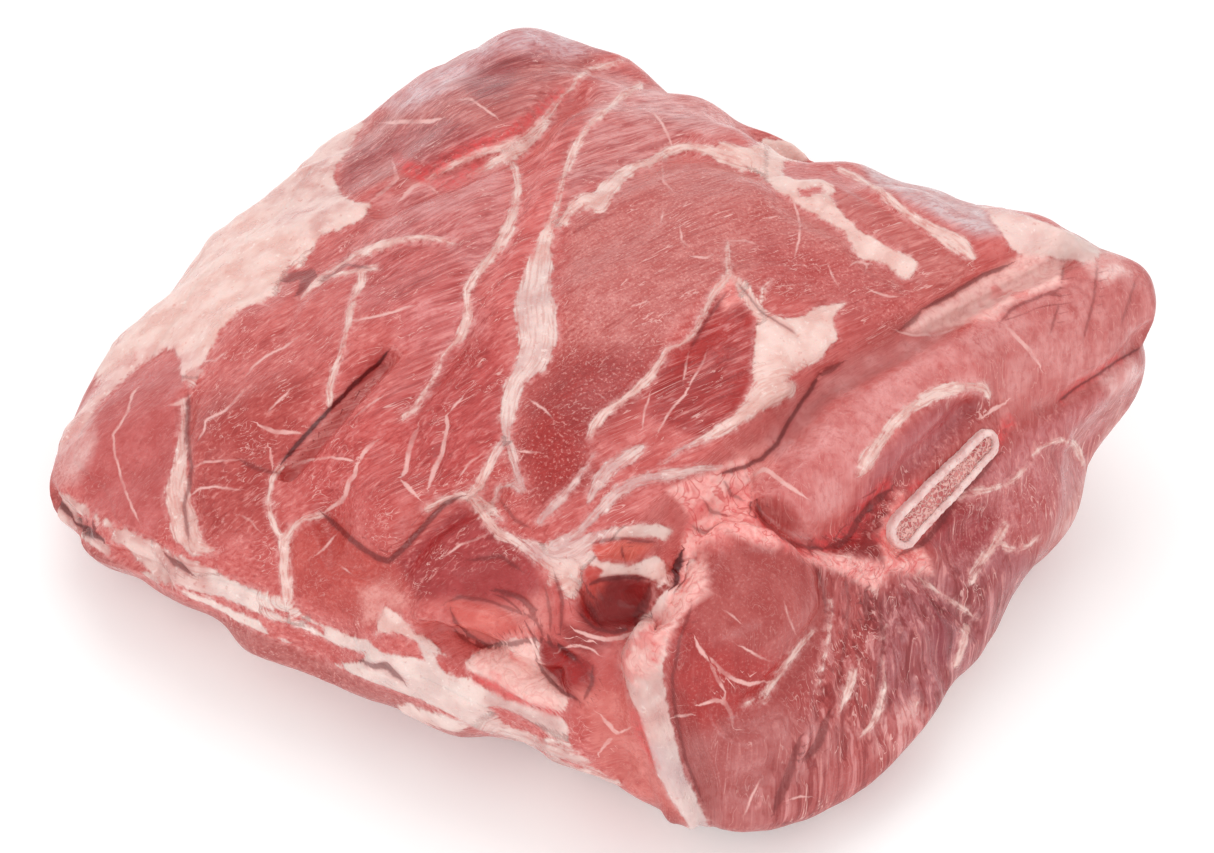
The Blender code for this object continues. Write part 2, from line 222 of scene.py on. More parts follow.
# Fat seams that were traced on the photograph: pixel x and y, and half the seam's width in pixels
FAT_LINES = {
    "main_seam": (
        (640, 86, 3), (622, 95, 3), (608, 109, 3), (592, 123, 3), (580, 138, 3.5), (572, 153, 4),
        (566, 170, 3), (561, 190, 2.5), (556, 208, 4), (551, 225, 5), (546, 240, 6.5), (541, 260, 11),
        (537, 280, 14), (534, 300, 20), (536, 320, 21), (538, 340, 20), (533, 360, 16), (517, 380, 8.5),
        (510, 400, 8), (507, 420, 7), (507, 440, 5)),
    "seam_left_branch": (
        (505, 440, 4), (494, 455, 4), (487, 470, 4), (480, 485, 5), (470, 496, 5), (455, 498, 3),
        (440, 503, 4), (428, 509, 5)),
    "seam_down": (
        (470, 497, 4), (480, 510, 5), (490, 524, 6), (500, 535, 6), (513, 540, 3), (528, 550, 4),
        (545, 564, 6), (558, 572, 6)),
    "seam_right_branch": (
        (510, 445, 4), (514, 460, 3.5), (518, 475, 4), (523, 490, 4), (512, 484, 2), (500, 486, 2),
        (494, 500, 2), (493, 512, 2)),
    "second_seam": (
        (509, 158, 2), (515, 170, 3), (518, 185, 3.5), (515, 205, 4.5), (508, 228, 6), (498, 248, 6),
        (486, 264, 5), (475, 277, 4), (467, 290, 3.5), (468, 305, 4), (468, 318, 5.5), (461, 333, 4),
        (452, 346, 2.5), (440, 357, 2), (437, 370, 2), (427, 388, 2), (414, 408, 2.5), (403, 418, 2.5)),
    "top_membrane": (
        (428, 180, 2), (440, 172, 3), (462, 160, 3), (485, 151, 3), (505, 146, 4), (525, 137, 4),
        (542, 122, 4), (553, 108, 4), (562, 95, 3), (572, 88, 2.5), (577, 78, 2.5), (590, 70, 2.5),
        (610, 64, 2.5), (622, 62, 2)),
    "eye_rim": (
        (563, 222, 5), (572, 208, 6), (586, 199, 6), (600, 203, 10), (607, 190, 9), (620, 176, 7),
        (637, 166, 5), (655, 160, 4.5), (668, 151, 4.5), (690, 147, 4), (708, 151, 5), (725, 158, 5),
        (742, 166, 6)),
    "left_strong_line": (
        (376, 266, 2), (362, 268, 3), (361, 282, 4), (355, 298, 4), (350, 315, 4), (350, 328, 4),
        (345, 342, 2.5), (340, 358, 2.5), (333, 374, 3), (329, 390, 3.5), (331, 407, 3)),
    "left_upper_fold": (
        (455, 242, 1), (440, 239, 2), (420, 238, 2), (400, 240, 2), (380, 245, 3), (352, 254, 2.5),
        (335, 265, 2), (320, 276, 2.5), (308, 287, 2), (300, 297, 1.5)),
    "left_lower_fold": ((375, 266, 2), (350, 272, 2), (330, 273, 2), (318, 277, 2)),
    "left_vertical_seam": (
        (183, 402, 3), (185, 415, 3), (184, 430, 4), (183, 445, 5), (181, 460, 6), (179, 475, 8),
        (177, 490, 11), (180, 505, 13), (184, 520, 14), (188, 535, 14), (195, 547, 10), (212, 550, 3)),
    "wedge_left_border": (
        (727, 278, 4), (718, 288, 4), (710, 300, 4), (703, 315, 3.5), (697, 328, 3), (690, 338, 2.5),
        (680, 345, 2), (668, 349, 2), (661, 360, 3), (650, 376, 4), (638, 388, 4.5), (622, 401, 3.5),
        (605, 412, 4), (595, 425, 4), (590, 437, 2.5)),
    "eye_back": (
        (840, 170, 2), (860, 180, 2.5), (880, 192, 3), (900, 207, 3), (920, 222, 4), (940, 233, 6),
        (960, 243, 8), (973, 256, 4)),
    "end_strip": (
        (988, 396, 3), (982, 387, 4), (970, 385, 5), (952, 388, 5), (935, 393, 6), (920, 402, 6),
        (905, 412, 6), (893, 424, 6), (883, 437, 6), (874, 449, 7), (866, 461, 8), (858, 473, 4)),
    "streak_1": (
        (785, 388, 10), (766, 396, 12), (750, 410, 8), (735, 421, 6), (715, 433, 4), (697, 443, 3),
        (680, 450, 2.5), (665, 462, 2)),
    "streak_2": (
        (722, 467, 2), (700, 469, 3), (680, 473, 5), (655, 477, 6), (635, 482, 7), (618, 492, 6),
        (605, 504, 5), (593, 518, 5), (582, 531, 5), (568, 541, 6), (555, 546, 6)),
    "streak_3": ((640, 447, 4), (625, 458, 7), (610, 468, 7), (599, 480, 6), (592, 494, 4), (588, 504, 2)),
    "streak_4": (
        (594, 454, 1.5), (583, 472, 2), (572, 487, 3), (560, 500, 4), (549, 512, 4.5), (541, 522, 4)),
    "lower_left_seam": (
        (323, 515, 2), (305, 519, 3), (293, 528, 3), (284, 540, 4), (284, 560, 4.5), (285, 580, 5),
        (287, 600, 5)),
    "gash_fascia": (
        (288, 462, 1.5), (278, 470, 3), (273, 478, 3),
        (270, 490, 2), (268, 500, 2), (270, 515, 1.5), (276, 530, 2), (282, 538, 2)),
    "round_lobe_line": (
        (812, 632, 2), (800, 645, 2.5), (790, 658, 3), (780, 672, 3), (770, 685, 3), (765, 698, 4),
        (755, 703, 3.5), (745, 705, 2.5)),
    "end_arc": (
        (965, 497, 3), (980, 491, 3), (1000, 487, 2.8), (1015, 480, 2.2), (1025, 468, 1.8), (1035, 455, 1.8),
        (1044, 445, 1.8), (1060, 440, 2.2), (1073, 443, 2.5), (1081, 453, 2.2), (1084, 465, 1.6)),
    "end_low_line": (
        (1005, 526, 4), (1000, 536, 5), (993, 547, 5), (984, 558, 5), (976, 570, 4.5), (971, 581, 3)),
    "end_low_branch": ((1000, 546, 2.5), (1015, 550, 2.5), (1030, 545, 2), (1040, 535, 1.5)),
    "end_low_patch": ((965, 628, 4), (963, 640, 4.5), (960, 652, 3.5), (955, 665, 3)),
    "end_collar": (
        (812, 553, 4), (832, 560, 5), (850, 561, 4.5), (864, 568, 5), (874, 580, 5), (874, 590, 3)),
    "end_streak_1": ((853, 668, 3), (849, 685, 4.5), (844, 700, 3), (838, 712, 1.5)),
    "end_streak_2": (
        (886, 620, 1), (882, 655, 1.2), (884, 685, 2), (880, 708, 3), (870, 727, 3), (862, 735, 2)),
    "end_streak_3": ((916, 700, 2), (912, 712, 2), (908, 720, 1.5)),
    "end_streak_4": (
        (830, 600, 2), (831, 615, 2), (828, 635, 2), (825, 650, 1.5), (820, 672, 1.5), (818, 690, 1)),
    "end_streak_5": (
        (905, 570, 1.5), (920, 580, 2), (935, 590, 2), (950, 600, 2), (965, 610, 2), (976, 618, 1.5)),
    "torn_membrane": (
        (468, 176, 2), (490, 166, 4), (508, 157, 6), (524, 148, 6), (538, 135, 4), (550, 120, 2)),
    "front_pale": ((468, 490, 1.5), (480, 499, 3.5), (492, 509, 3.5), (502, 520, 1.5)),
    "fat_patch_top": ((730, 278, 3), (727, 255, 3), (728, 243, 2)),
    "fat_patch_arm": ((763, 300, 2), (763, 290, 2), (770, 281, 1)),
    "strip_foot": ((500, 738, 3), (540, 755, 2.5), (580, 770, 2.5), (620, 782, 2)),
}
# Areas of fat: outlines in pixels
FAT_AREAS = {
    "left_fat": (
        (60, 440), (80, 395), (105, 355), (140, 315), (170, 285), (205, 250), (240, 215), (265, 195),
        (300, 165), (340, 140), (368, 112), (356, 128), (346, 148), (337, 165), (334, 182), (341, 196),
        (355, 203), (372, 203), (362, 217), (345, 227), (325, 233), (312, 248), (303, 264),
        (295, 268), (290, 262), (285, 280), (272, 296), (258, 303), (245, 305), (233, 317), (221, 332),
        (213, 346), (203, 357), (198, 366), (205, 371), (192, 388), (183, 380), (180, 360), (175, 350),
        (165, 348), (152, 357), (138, 363), (124, 376), (116, 386), (104, 396), (92, 412), (80, 430),
        (30, 470), (10, 300), (300, 60)),
    "eye_back_fat": (
        (712, 150), (722, 142), (745, 148), (765, 140), (790, 142), (812, 155), (806, 160), (785, 162),
        (782, 175), (795, 182), (820, 180), (835, 188), (832, 198), (838, 210), (850, 222), (862, 232),
        (885, 245), (905, 255), (917, 262), (912, 275), (905, 278), (892, 270), (880, 262), (862, 258),
        (852, 245), (842, 232), (828, 222), (812, 215), (795, 203), (778, 193), (762, 178), (742, 167),
        (725, 160)),
    "fat_patch": (
        (730, 278), (738, 275), (748, 285), (755, 298), (762, 308), (772, 315), (785, 320), (798, 318),
        (808, 312), (818, 308), (830, 305), (845, 303), (838, 310), (833, 318), (835, 330), (838, 340),
        (828, 347), (822, 355), (815, 362), (800, 372), (785, 380), (790, 390), (783, 400), (770, 408),
        (755, 415), (742, 420), (733, 415), (745, 400), (752, 385), (753, 365), (755, 340), (756, 320),
        (748, 305), (738, 290)),
    "corner_fat": (
        (980, 207), (1010, 210), (1040, 222), (1075, 235), (1100, 248), (1095, 262), (1075, 262),
        (1050, 255), (1035, 258), (1020, 265), (1022, 255), (1005, 240), (1000, 230), (990, 218)),
    "lower_fat": (
        (523, 540), (550, 545), (575, 538), (590, 532), (620, 528), (640, 525), (660, 525), (672, 530),
        (665, 540), (655, 535), (640, 537), (620, 538), (595, 543), (590, 550), (600, 562), (625, 567),
        (645, 562), (655, 557), (665, 562), (668, 575), (655, 580), (640, 575), (615, 575), (600, 578),
        (603, 570), (590, 563), (580, 570), (582, 585), (575, 600), (565, 600), (558, 580), (548, 585),
        (550, 570), (540, 562), (530, 552)),
    "white_sheet": (
        (495, 645), (515, 640), (535, 640), (540, 655), (545, 670), (555, 685), (568, 695), (570, 703),
        (560, 710), (545, 708), (525, 700), (505, 690), (490, 680), (475, 672), (465, 665), (475, 655)),
    "collar": (
        (680, 560), (668, 590), (655, 605), (640, 620), (628, 640), (622, 655), (622, 675), (630, 695),
        (640, 712), (648, 737), (656, 765), (668, 790), (682, 815), (695, 830), (715, 835), (700, 810),
        (690, 785), (682, 765), (674, 740), (669, 712), (664, 690), (662, 665), (667, 640), (675, 612),
        (690, 600), (700, 575), (700, 560)),
    "front_band": (
        (55, 488), (70, 497), (90, 510), (110, 522), (130, 532), (150, 542), (170, 552), (200, 562),
        (240, 585), (285, 598), (310, 620), (345, 637), (372, 640), (385, 606), (430, 640), (440, 650),
        (475, 685), (510, 700), (548, 712), (565, 720), (570, 745), (600, 772), (560, 758), (500, 738),
        (480, 730), (440, 707), (400, 690), (350, 672), (310, 650), (280, 640), (240, 620), (200, 600),
        (160, 584), (125, 566), (95, 545), (60, 520), (50, 500)),
    "pale_flap": (
        (398, 703), (403, 713), (415, 720), (435, 726), (455, 731), (470, 725), (440, 715), (415, 706)),
}
# Lean that shows inside those areas: outlines in pixels
LEAN_AREAS = {
    "eye_back_island": ((783, 170), (800, 162), (825, 170), (828, 178), (800, 178)),
    "eye_back_islet": ((797, 190), (820, 187), (828, 195), (800, 197)),
    "band_strip": (
        (250, 614), (280, 620), (305, 628), (330, 640), (352, 648), (368, 653), (362, 664), (340, 664),
        (320, 658), (300, 648), (272, 634)),
    "band_upper_strip": ((250, 603), (275, 606), (295, 614), (325, 628), (325, 636), (292, 622), (270, 613)),
    "band_blob_1": ((370, 640), (380, 633), (395, 632), (415, 640), (425, 662), (385, 652)),
    "band_blob_2": ((432, 650), (445, 655), (465, 665), (475, 680), (455, 678), (440, 668)),
    "band_blob_3": (
        (485, 707), (500, 707), (520, 715), (555, 738), (575, 748), (530, 735), (505, 725)),
    "band_blob_4": ((403, 612), (415, 607), (423, 630), (415, 635)),
    "band_left_chunk": ((105, 540), (125, 545), (140, 560), (160, 575), (130, 575), (110, 560)),
    "band_left_top": ((75, 512), (95, 518), (118, 532), (106, 541), (85, 532)),
    "band_middle_strip": ((195, 592), (225, 598), (262, 612), (275, 624), (250, 620), (215, 606)),
    "band_left_bits": ((150, 578), (180, 583), (215, 598), (210, 604), (180, 592)),
}
# Thin veins of fat and membrane, in pixels, by the area that they run through
FINE_VEINS = {
    "eye_muscle": (
        ((793, 200), (797, 212), (800, 225), (799, 240), (795, 255)),
        ((690, 255), (705, 258), (715, 253)),
        ((680, 228), (682, 240), (690, 247)),
        ((730, 240), (745, 240), (757, 245)),
        ((663, 212), (660, 225)),
        ((662, 165), (663, 180), (672, 190)),
        ((830, 268), (835, 280), (838, 285)),
        ((850, 265), (858, 260), (868, 262), (865, 272)),
        ((870, 290), (890, 297), (898, 297)),
        ((530, 400), (545, 410), (553, 420)),
        ((515, 450), (530, 452), (540, 452)),
        ((597, 393), (605, 398)),
        ((652, 110), (660, 120), (668, 135), (673, 147)),
    ),
    "wedge": (
        ((688, 355), (685, 370), (683, 385)),
        ((707, 352), (702, 365), (692, 380), (685, 395), (675, 405), (668, 415), (658, 432)),
        ((650, 395), (645, 410), (642, 425)),
    ),
    "left_muscle": (
        ((300, 335), (285, 347), (268, 355), (255, 365), (245, 377)),
        ((245, 388), (235, 400), (225, 411), (205, 420), (205, 430), (198, 440)),
        ((290, 390), (280, 400), (268, 412)),
        ((190, 468), (205, 462), (220, 461), (240, 460)),
        ((190, 495), (200, 488), (215, 487), (240, 490)),
        ((240, 515), (250, 520), (258, 530)),
        ((140, 385), (132, 395), (128, 410), (120, 425), (113, 435), (115, 455), (120, 475), (125, 490),
         (133, 510), (140, 523)),
        ((200, 360), (215, 360), (225, 352)),
        ((245, 303), (260, 303), (270, 307)),
    ),
    "middle": (
        ((295, 465), (310, 460), (330, 457), (350, 460), (358, 462)),
        ((463, 395), (455, 405), (448, 412)),
        ((385, 395), (370, 405), (355, 418)),
        ((460, 475), (470, 462), (480, 455)),
        ((335, 535), (325, 548), (315, 555)),
        ((340, 565), (350, 573)),
        ((447, 555), (460, 545), (475, 540), (490, 532)),
        ((350, 322), (370, 318), (400, 310), (415, 305)),
    ),
    "hump": (((457, 100), (470, 98), (480, 105), (498, 118)),),
    "end": (
        ((895, 330), (910, 335), (935, 335), (955, 328)),
        ((740, 645), (755, 655), (770, 662)),
        ((725, 610), (740, 622)),
        ((785, 605), (790, 620), (795, 632)),
        ((615, 735), (630, 728)),
        ((560, 650), (575, 645), (590, 648), (600, 655)),
        ((760, 780), (750, 800), (745, 815)),
        ((790, 800), (800, 796), (808, 797)),
    ),
}
BROAD_VEINS = {
    "left": (
        ((170, 405), (183, 402), (190, 395)),
        ((258, 425), (275, 432), (300, 433)),
        ((270, 450), (272, 465)),
        ((378, 440), (368, 447), (358, 462), (355, 475), (348, 482), (345, 495), (340, 502), (325, 512)),
        ((445, 410), (447, 425), (443, 440), (440, 455), (433, 470), (428, 485)),
        ((418, 425), (412, 440), (407, 455), (405, 470), (398, 478)),
        ((400, 478), (410, 490), (418, 497)),
        ((385, 122), (430, 121), (440, 118)),
        ((371, 200), (385, 190), (397, 178), (393, 163)),
        ((400, 200), (415, 185), (425, 182), (435, 190)),
    ),
    "end": (
        ((755, 475), (765, 468), (780, 480), (795, 490), (805, 497)),
        ((1005, 325), (1015, 335), (1030, 350), (1040, 365)),
        ((985, 415), (995, 408), (1005, 403)),
        ((695, 640), (700, 650), (708, 657), (713, 668), (718, 680), (725, 690)),
        ((700, 705), (715, 700), (725, 702), (732, 715), (733, 725)),
        ((708, 655), (720, 670), (735, 680), (750, 685), (765, 682)),
        ((675, 717), (690, 715)),
        ((600, 715), (610, 725), (615, 735), (605, 745), (600, 752)),
        ((575, 630), (590, 636), (605, 640), (620, 638), (635, 630)),
    ),
}
# Half a vein's width in pixels
FINE_VEIN = 0.9
BROAD_VEIN = 1.8
# How far from its line a mark is looked for, the share of its width left at its ends, and how much nearer
# than the next mark its line has to be, all in pixels. Fat is looked for as far as the margin.
MARK_REACH = 12
MARK_TIP = 0.35
MARK_APART = (2.5, 5.5)
FAT_MARGIN = 24

# Creases and hollows, darkened with painted shade: the line in pixels, half its width in pixels, how dark
# its painted shade is, its depth in mm
CREASES = {
    "gash": (
        ((387, 353), (380, 362), (365, 375), (352, 387), (342, 398), (335, 405), (322, 418), (303, 438),
         (283, 462)), 2, 1.0, 0.5),
    "front_fold": (
        ((325, 515), (340, 530), (360, 548), (375, 558), (388, 562), (400, 552), (415, 536), (430, 520),
         (445, 504), (460, 497)), 2.6, 0.6, 1.0),
    "left_seam": (
        ((188, 395), (187, 415), (187, 440), (190, 465), (188, 490), (184, 505), (188, 540)), 1.6, 0.5, 0.5),
    "short_crease": (((240, 460), (255, 468), (278, 473)), 2, 0.4, 0.5),
    "slit": (((681, 553), (678, 563), (674, 576), (671, 588)), 2.6, 1.0, 1.0),
    "cleft": (
        ((820, 548), (840, 545), (850, 535), (858, 520), (870, 505), (880, 497), (890, 490)), 3, 0.6, 1.0),
    "small_hollow": (((751, 497), (751, 510)), 2.5, 0.7, 0.6),
    "tongue_hollow": (((455, 630), (470, 642), (490, 647), (505, 645)), 3, 0.5, 1.2),
    "tongue_top": (((495, 590), (520, 598), (535, 610)), 3, 0.45, 1.0),
    "knob": (((840, 365), (825, 372), (822, 378)), 3.5, 0.5, 1.0),
    "tongue_edge": (((925, 308), (945, 298), (985, 275), (1010, 265)), 2, 0.6, 0.8),
    "tongue_point": (((900, 330), (912, 322), (922, 310)), 2, 0.5, 0.8),
    "corner_edge": (((1062, 288), (1038, 297), (1014, 307), (1000, 322)), 1.4, 0.4, 0.4),
    "end_muscle_edge": (
        ((822, 372), (812, 388), (800, 405), (788, 424), (777, 444), (762, 459), (742, 467), (722, 474)),
        1.8, 0.7, 0.6),
    "left_pit": (((283, 280), (295, 275), (312, 272), (297, 290)), 4, 0.5, 0.8),
    "slash": (((553, 642), (570, 655), (578, 660)), 2.5, 0.8, 1.0),
    "end_hollow_1": (((868, 590), (868, 620)), 5, 0.45, 1.0),
    "end_hollow_2": (((830, 715), (825, 725), (818, 745), (805, 760)), 4, 0.45, 1.0),
    "end_hollow_3": (((800, 740), (790, 770), (783, 790), (775, 810)), 4, 0.4, 1.0),
    "band_crack": (((362, 661), (375, 665), (388, 664), (405, 680)), 2.5, 0.6, 1.0),
    "band_gap_1": (((60, 500), (70, 515)), 4, 0.8, 1.5),
    "band_gap_2": (((80, 525), (100, 540)), 4, 0.8, 1.5),
    "band_gap_3": (((170, 557), (190, 572)), 3, 0.6, 1.0),
    "pocket_left": (((583, 590), (590, 605), (600, 622)), 4, 0.4, 0.8),
    "pocket_right": (((650, 588), (645, 605), (632, 625)), 4, 0.4, 0.8),
    "collar_side": (((692, 604), (680, 640), (672, 680), (677, 720), (686, 760), (702, 800)), 1.4, 0.4, 0.5),
    "red_line": (
        ((1056, 404), (1068, 394), (1082, 384), (1097, 375), (1110, 366), (1126, 356), (1145, 345)),
        1, 0.7, 0.4),
    "flap_top": (((447, 603), (462, 597), (490, 601), (530, 616), (548, 630)), 1.6, 0.4, 0.6),
    "flap_foot": (((452, 612), (464, 632), (485, 645), (520, 643), (543, 636)), 2.0, 0.55, 0.8),
    "block_top": (((532, 645), (545, 640), (560, 648), (578, 662)), 2.0, 0.6, 0.8),
    "block_side": (((592, 668), (592, 684), (582, 703)), 1.8, 0.45, 0.8),
    "block_foot": (((537, 655), (545, 675), (560, 690), (578, 700)), 1.8, 0.6, 0.6),
    "orange_top": (((592, 543), (620, 538), (656, 542)), 1.4, 0.4, 0.4),
    "orange_split": (((622, 542), (625, 562)), 1.2, 0.5, 0.4),
    "pocket_top": (((583, 588), (600, 580), (625, 577), (648, 580)), 2, 0.6, 0.5),
    "pocket_foot": (((580, 612), (595, 628), (615, 633), (640, 622)), 1.6, 0.5, 0.5),
    "front_gap_1": (((555, 575), (562, 600), (560, 630)), 1.8, 0.4, 1.0),
    "front_gap_2": (((545, 590), (550, 615), (548, 640)), 1.6, 0.35, 0.8),
    "front_gap_3": (((470, 560), (500, 556), (520, 570)), 1.8, 0.4, 0.6),
    "front_gap_4": (((500, 500), (515, 520), (530, 528)), 1.6, 0.35, 0.4),
    "wedge_edge": (((728, 290), (708, 318), (690, 350)), 1.2, 0.4, 0.3),
    "fat_patch_hair": (
        ((735, 280), (745, 292), (752, 302), (760, 312), (775, 322), (790, 330), (800, 335)),
        0.9, 0.45, 0.3),
    "knot_fold_1": (((700, 500), (712, 512), (730, 515)), 1.5, 0.4, 0.6),
    "knot_fold_2": (((722, 480), (730, 495), (745, 500)), 1.5, 0.4, 0.6),
    "knot_fold_3": (((692, 525), (705, 532), (725, 528)), 1.5, 0.4, 0.6),
    "roll_foot": (((757, 500), (762, 520), (780, 538), (805, 548), (825, 547)), 2, 0.5, 0.6),
    "end_fold_1": (((812, 562), (822, 580), (826, 610)), 1.6, 0.35, 0.6),
    "end_fold_2": (((845, 575), (850, 600), (846, 640), (836, 690)), 1.6, 0.3, 0.6),
    "end_fold_3": (((880, 600), (884, 640), (876, 690)), 1.6, 0.3, 0.6),
    "left_fold": (((372, 268), (345, 262), (318, 280)), 1.4, 0.4, 0.4),
    "corner_fold_1": (((1064, 262), (1060, 300), (1050, 335)), 1.2, 0.35, 0.5),
    "corner_fold_2": (((1098, 262), (1094, 300), (1084, 340)), 1.2, 0.35, 0.5),
    "corner_fold_3": (((1136, 278), (1130, 300), (1122, 325)), 1.2, 0.3, 0.5),
    "bone_edge": (((905, 556), (925, 545), (945, 522), (965, 497), (985, 475), (998, 455)), 2, 0.5, 0.3),
}
# Places with blood: the line in pixels and half its width in pixels
BLUSHES = {
    "top_crease": (
        ((400, 162), (425, 177), (455, 155), (480, 145), (500, 138), (530, 120), (560, 95)), 7),
    "top_hollow": (((440, 183), (455, 182), (470, 172), (480, 165)), 6),
    "right_crease": (((1060, 400), (1068, 392), (1080, 383), (1095, 375), (1105, 367), (1120, 358)), 3),
    "sheet_edge": (((475, 680), (495, 685), (510, 695), (530, 702), (548, 710), (560, 712)), 4),
    "collar_side": (((636, 715), (645, 740), (655, 762)), 5),
    "collar_top": (((655, 645), (653, 660)), 4),
    "knot_foot": (((755, 515), (765, 530), (785, 545), (815, 550)), 5),
    "cleft": (((820, 545), (850, 532), (868, 505), (885, 488)), 8),
    "knot_left": (((700, 505), (688, 530)), 3),
    "bone_edge": (((880, 540), (893, 520), (905, 505), (915, 490), (925, 482)), 4),
    "bone_back": (((1000, 430), (1010, 420), (990, 455)), 4),
}
# Wrinkled tissue, with red lines in it: outlines in pixels
WRINKLED_AREAS = {
    "knot": (
        (682, 505), (666, 490), (690, 478), (712, 472), (728, 462), (745, 458), (755, 470), (750, 480),
        (752, 495), (750, 510), (760, 525), (775, 535), (790, 545), (770, 548), (745, 540), (730, 535),
        (710, 545), (700, 555), (685, 570), (680, 590), (670, 600), (680, 560), (682, 540), (690, 520)),
    "end_wrinkles": (
        (790, 548), (820, 554), (850, 558), (880, 562), (905, 556), (930, 556), (934, 575), (890, 572),
        (878, 590), (862, 585), (840, 572), (810, 562)),
    "collar_top": (
        (706, 552), (690, 578), (672, 602), (650, 622), (632, 643), (622, 668), (634, 682), (652, 672),
        (668, 640), (684, 612), (708, 590)),
    "cleft": (
        (888, 505), (900, 490), (908, 500), (897, 520), (893, 542), (920, 545), (930, 558), (915, 566),
        (885, 566), (880, 545), (882, 525)),
    "sheet": (
        (475, 655), (495, 645), (535, 640), (545, 670), (568, 695), (560, 710), (505, 690), (465, 665)),
    "tongue": (
        (905, 330), (915, 318), (930, 308), (950, 298), (970, 285), (985, 275), (1005, 265), (1020, 255),
        (1040, 255), (1064, 262), (1060, 284), (1042, 290), (1022, 297), (1006, 308), (992, 320),
        (970, 322), (950, 328), (930, 332), (915, 335)),
}
# How strongly each of them is wrinkled, and its colour, fitted to the photograph's
WRINKLES = {
    "knot": (1.0, (252, 170, 164)),
    "end_wrinkles": (0.9, (240, 158, 153)),
    "cleft": (0.7, (232, 128, 122)),
    "collar_top": (0.55, (244, 178, 171)),
    "sheet": (0.35, (238, 184, 176)),
    "tongue": (0.25, (244, 186, 179)),
}
# Cross-cut muscle with a grainy look: outlines in pixels, and how grainy it is
GRAINY_AREAS = {
    "eye_muscle": (
        ((565, 225), (600, 205), (660, 162), (735, 165), (800, 210), (870, 258), (920, 285), (900, 335),
         (840, 300), (770, 300), (735, 270), (690, 340), (650, 370), (590, 440), (590, 480), (520, 520),
         (515, 440), (530, 380), (555, 330), (550, 260)), 1.0),
    "round_lobe": (
        ((700, 560), (760, 540), (820, 570), (830, 620), (780, 700), (740, 800), (700, 780), (672, 700),
         (675, 620)), 0.4),
    "blade_side": (((960, 500), (1060, 450), (1080, 470), (1040, 530), (980, 560), (940, 570)), 0.6),
    "front_bulge": (((285, 530), (330, 520), (400, 575), (400, 620), (330, 615), (290, 590)), 0.4),
}
# Muscle with coarse fibres: outlines in pixels, and how strongly they show
FIBROUS_AREAS = {
    "end_fibres": (
        ((800, 555), (960, 560), (1010, 600), (950, 720), (870, 800), (780, 840), (750, 810), (800, 720),
         (835, 640)), 1.0),
    "roll": (((770, 440), (860, 360), (940, 330), (985, 345), (930, 400), (860, 480), (800, 540)), 0.2),
    "right_side": (((985, 300), (1120, 265), (1180, 320), (1100, 400), (1060, 470), (980, 420)), 0.3),
    "hump": (
        ((345, 140), (470, 50), (600, 55), (740, 120), (600, 200), (500, 330), (440, 340), (330, 260)), 0.7),
    "middle": (((400, 330), (500, 330), (500, 450), (440, 500), (300, 500), (340, 420)), 0.5),
    "wedge": (((730, 280), (650, 395), (645, 415), (700, 440), (738, 412), (756, 330)), 0.6),
}
# Smooth muscle, whose fine fibres hardly show: outlines in pixels, and how smooth it is
CALM_AREAS = {
    "round_lobe": (
        ((690, 560), (760, 540), (820, 565), (832, 620), (800, 690), (760, 720), (700, 740), (670, 680)),
        0.75),
    "lobe_foot": (((670, 700), (790, 690), (830, 740), (760, 835), (700, 840)), 0.5),
    "roll": (((765, 440), (860, 360), (940, 330), (1000, 345), (960, 410), (860, 500), (800, 545)), 0.6),
    "right_side": (((985, 320), (1120, 260), (1180, 320), (1110, 400), (1000, 420)), 0.6),
    "corner": (((975, 200), (1060, 215), (1140, 270), (1060, 300), (1000, 280)), 0.6),
    "left_corner": (((50, 440), (110, 390), (185, 350), (183, 430), (180, 500), (150, 540), (90, 510)), 0.6),
    "tongue_flap": (((440, 600), (480, 595), (545, 620), (545, 645), (490, 650), (450, 630)), 0.8),
    "front_bulge": (((285, 530), (330, 520), (400, 565), (405, 620), (330, 615), (290, 590)), 0.5),
    "pale_salmon": (((575, 690), (600, 680), (640, 700), (690, 825), (650, 800), (600, 770)), 0.6),
    "front_middle": (
        ((430, 590), (500, 560), (560, 560), (670, 560), (650, 640), (630, 690), (570, 720), (500, 690),
         (440, 650)), 0.85),
    "eye_foot": (((520, 400), (600, 350), (650, 360), (590, 450), (540, 500)), 0.4),
}
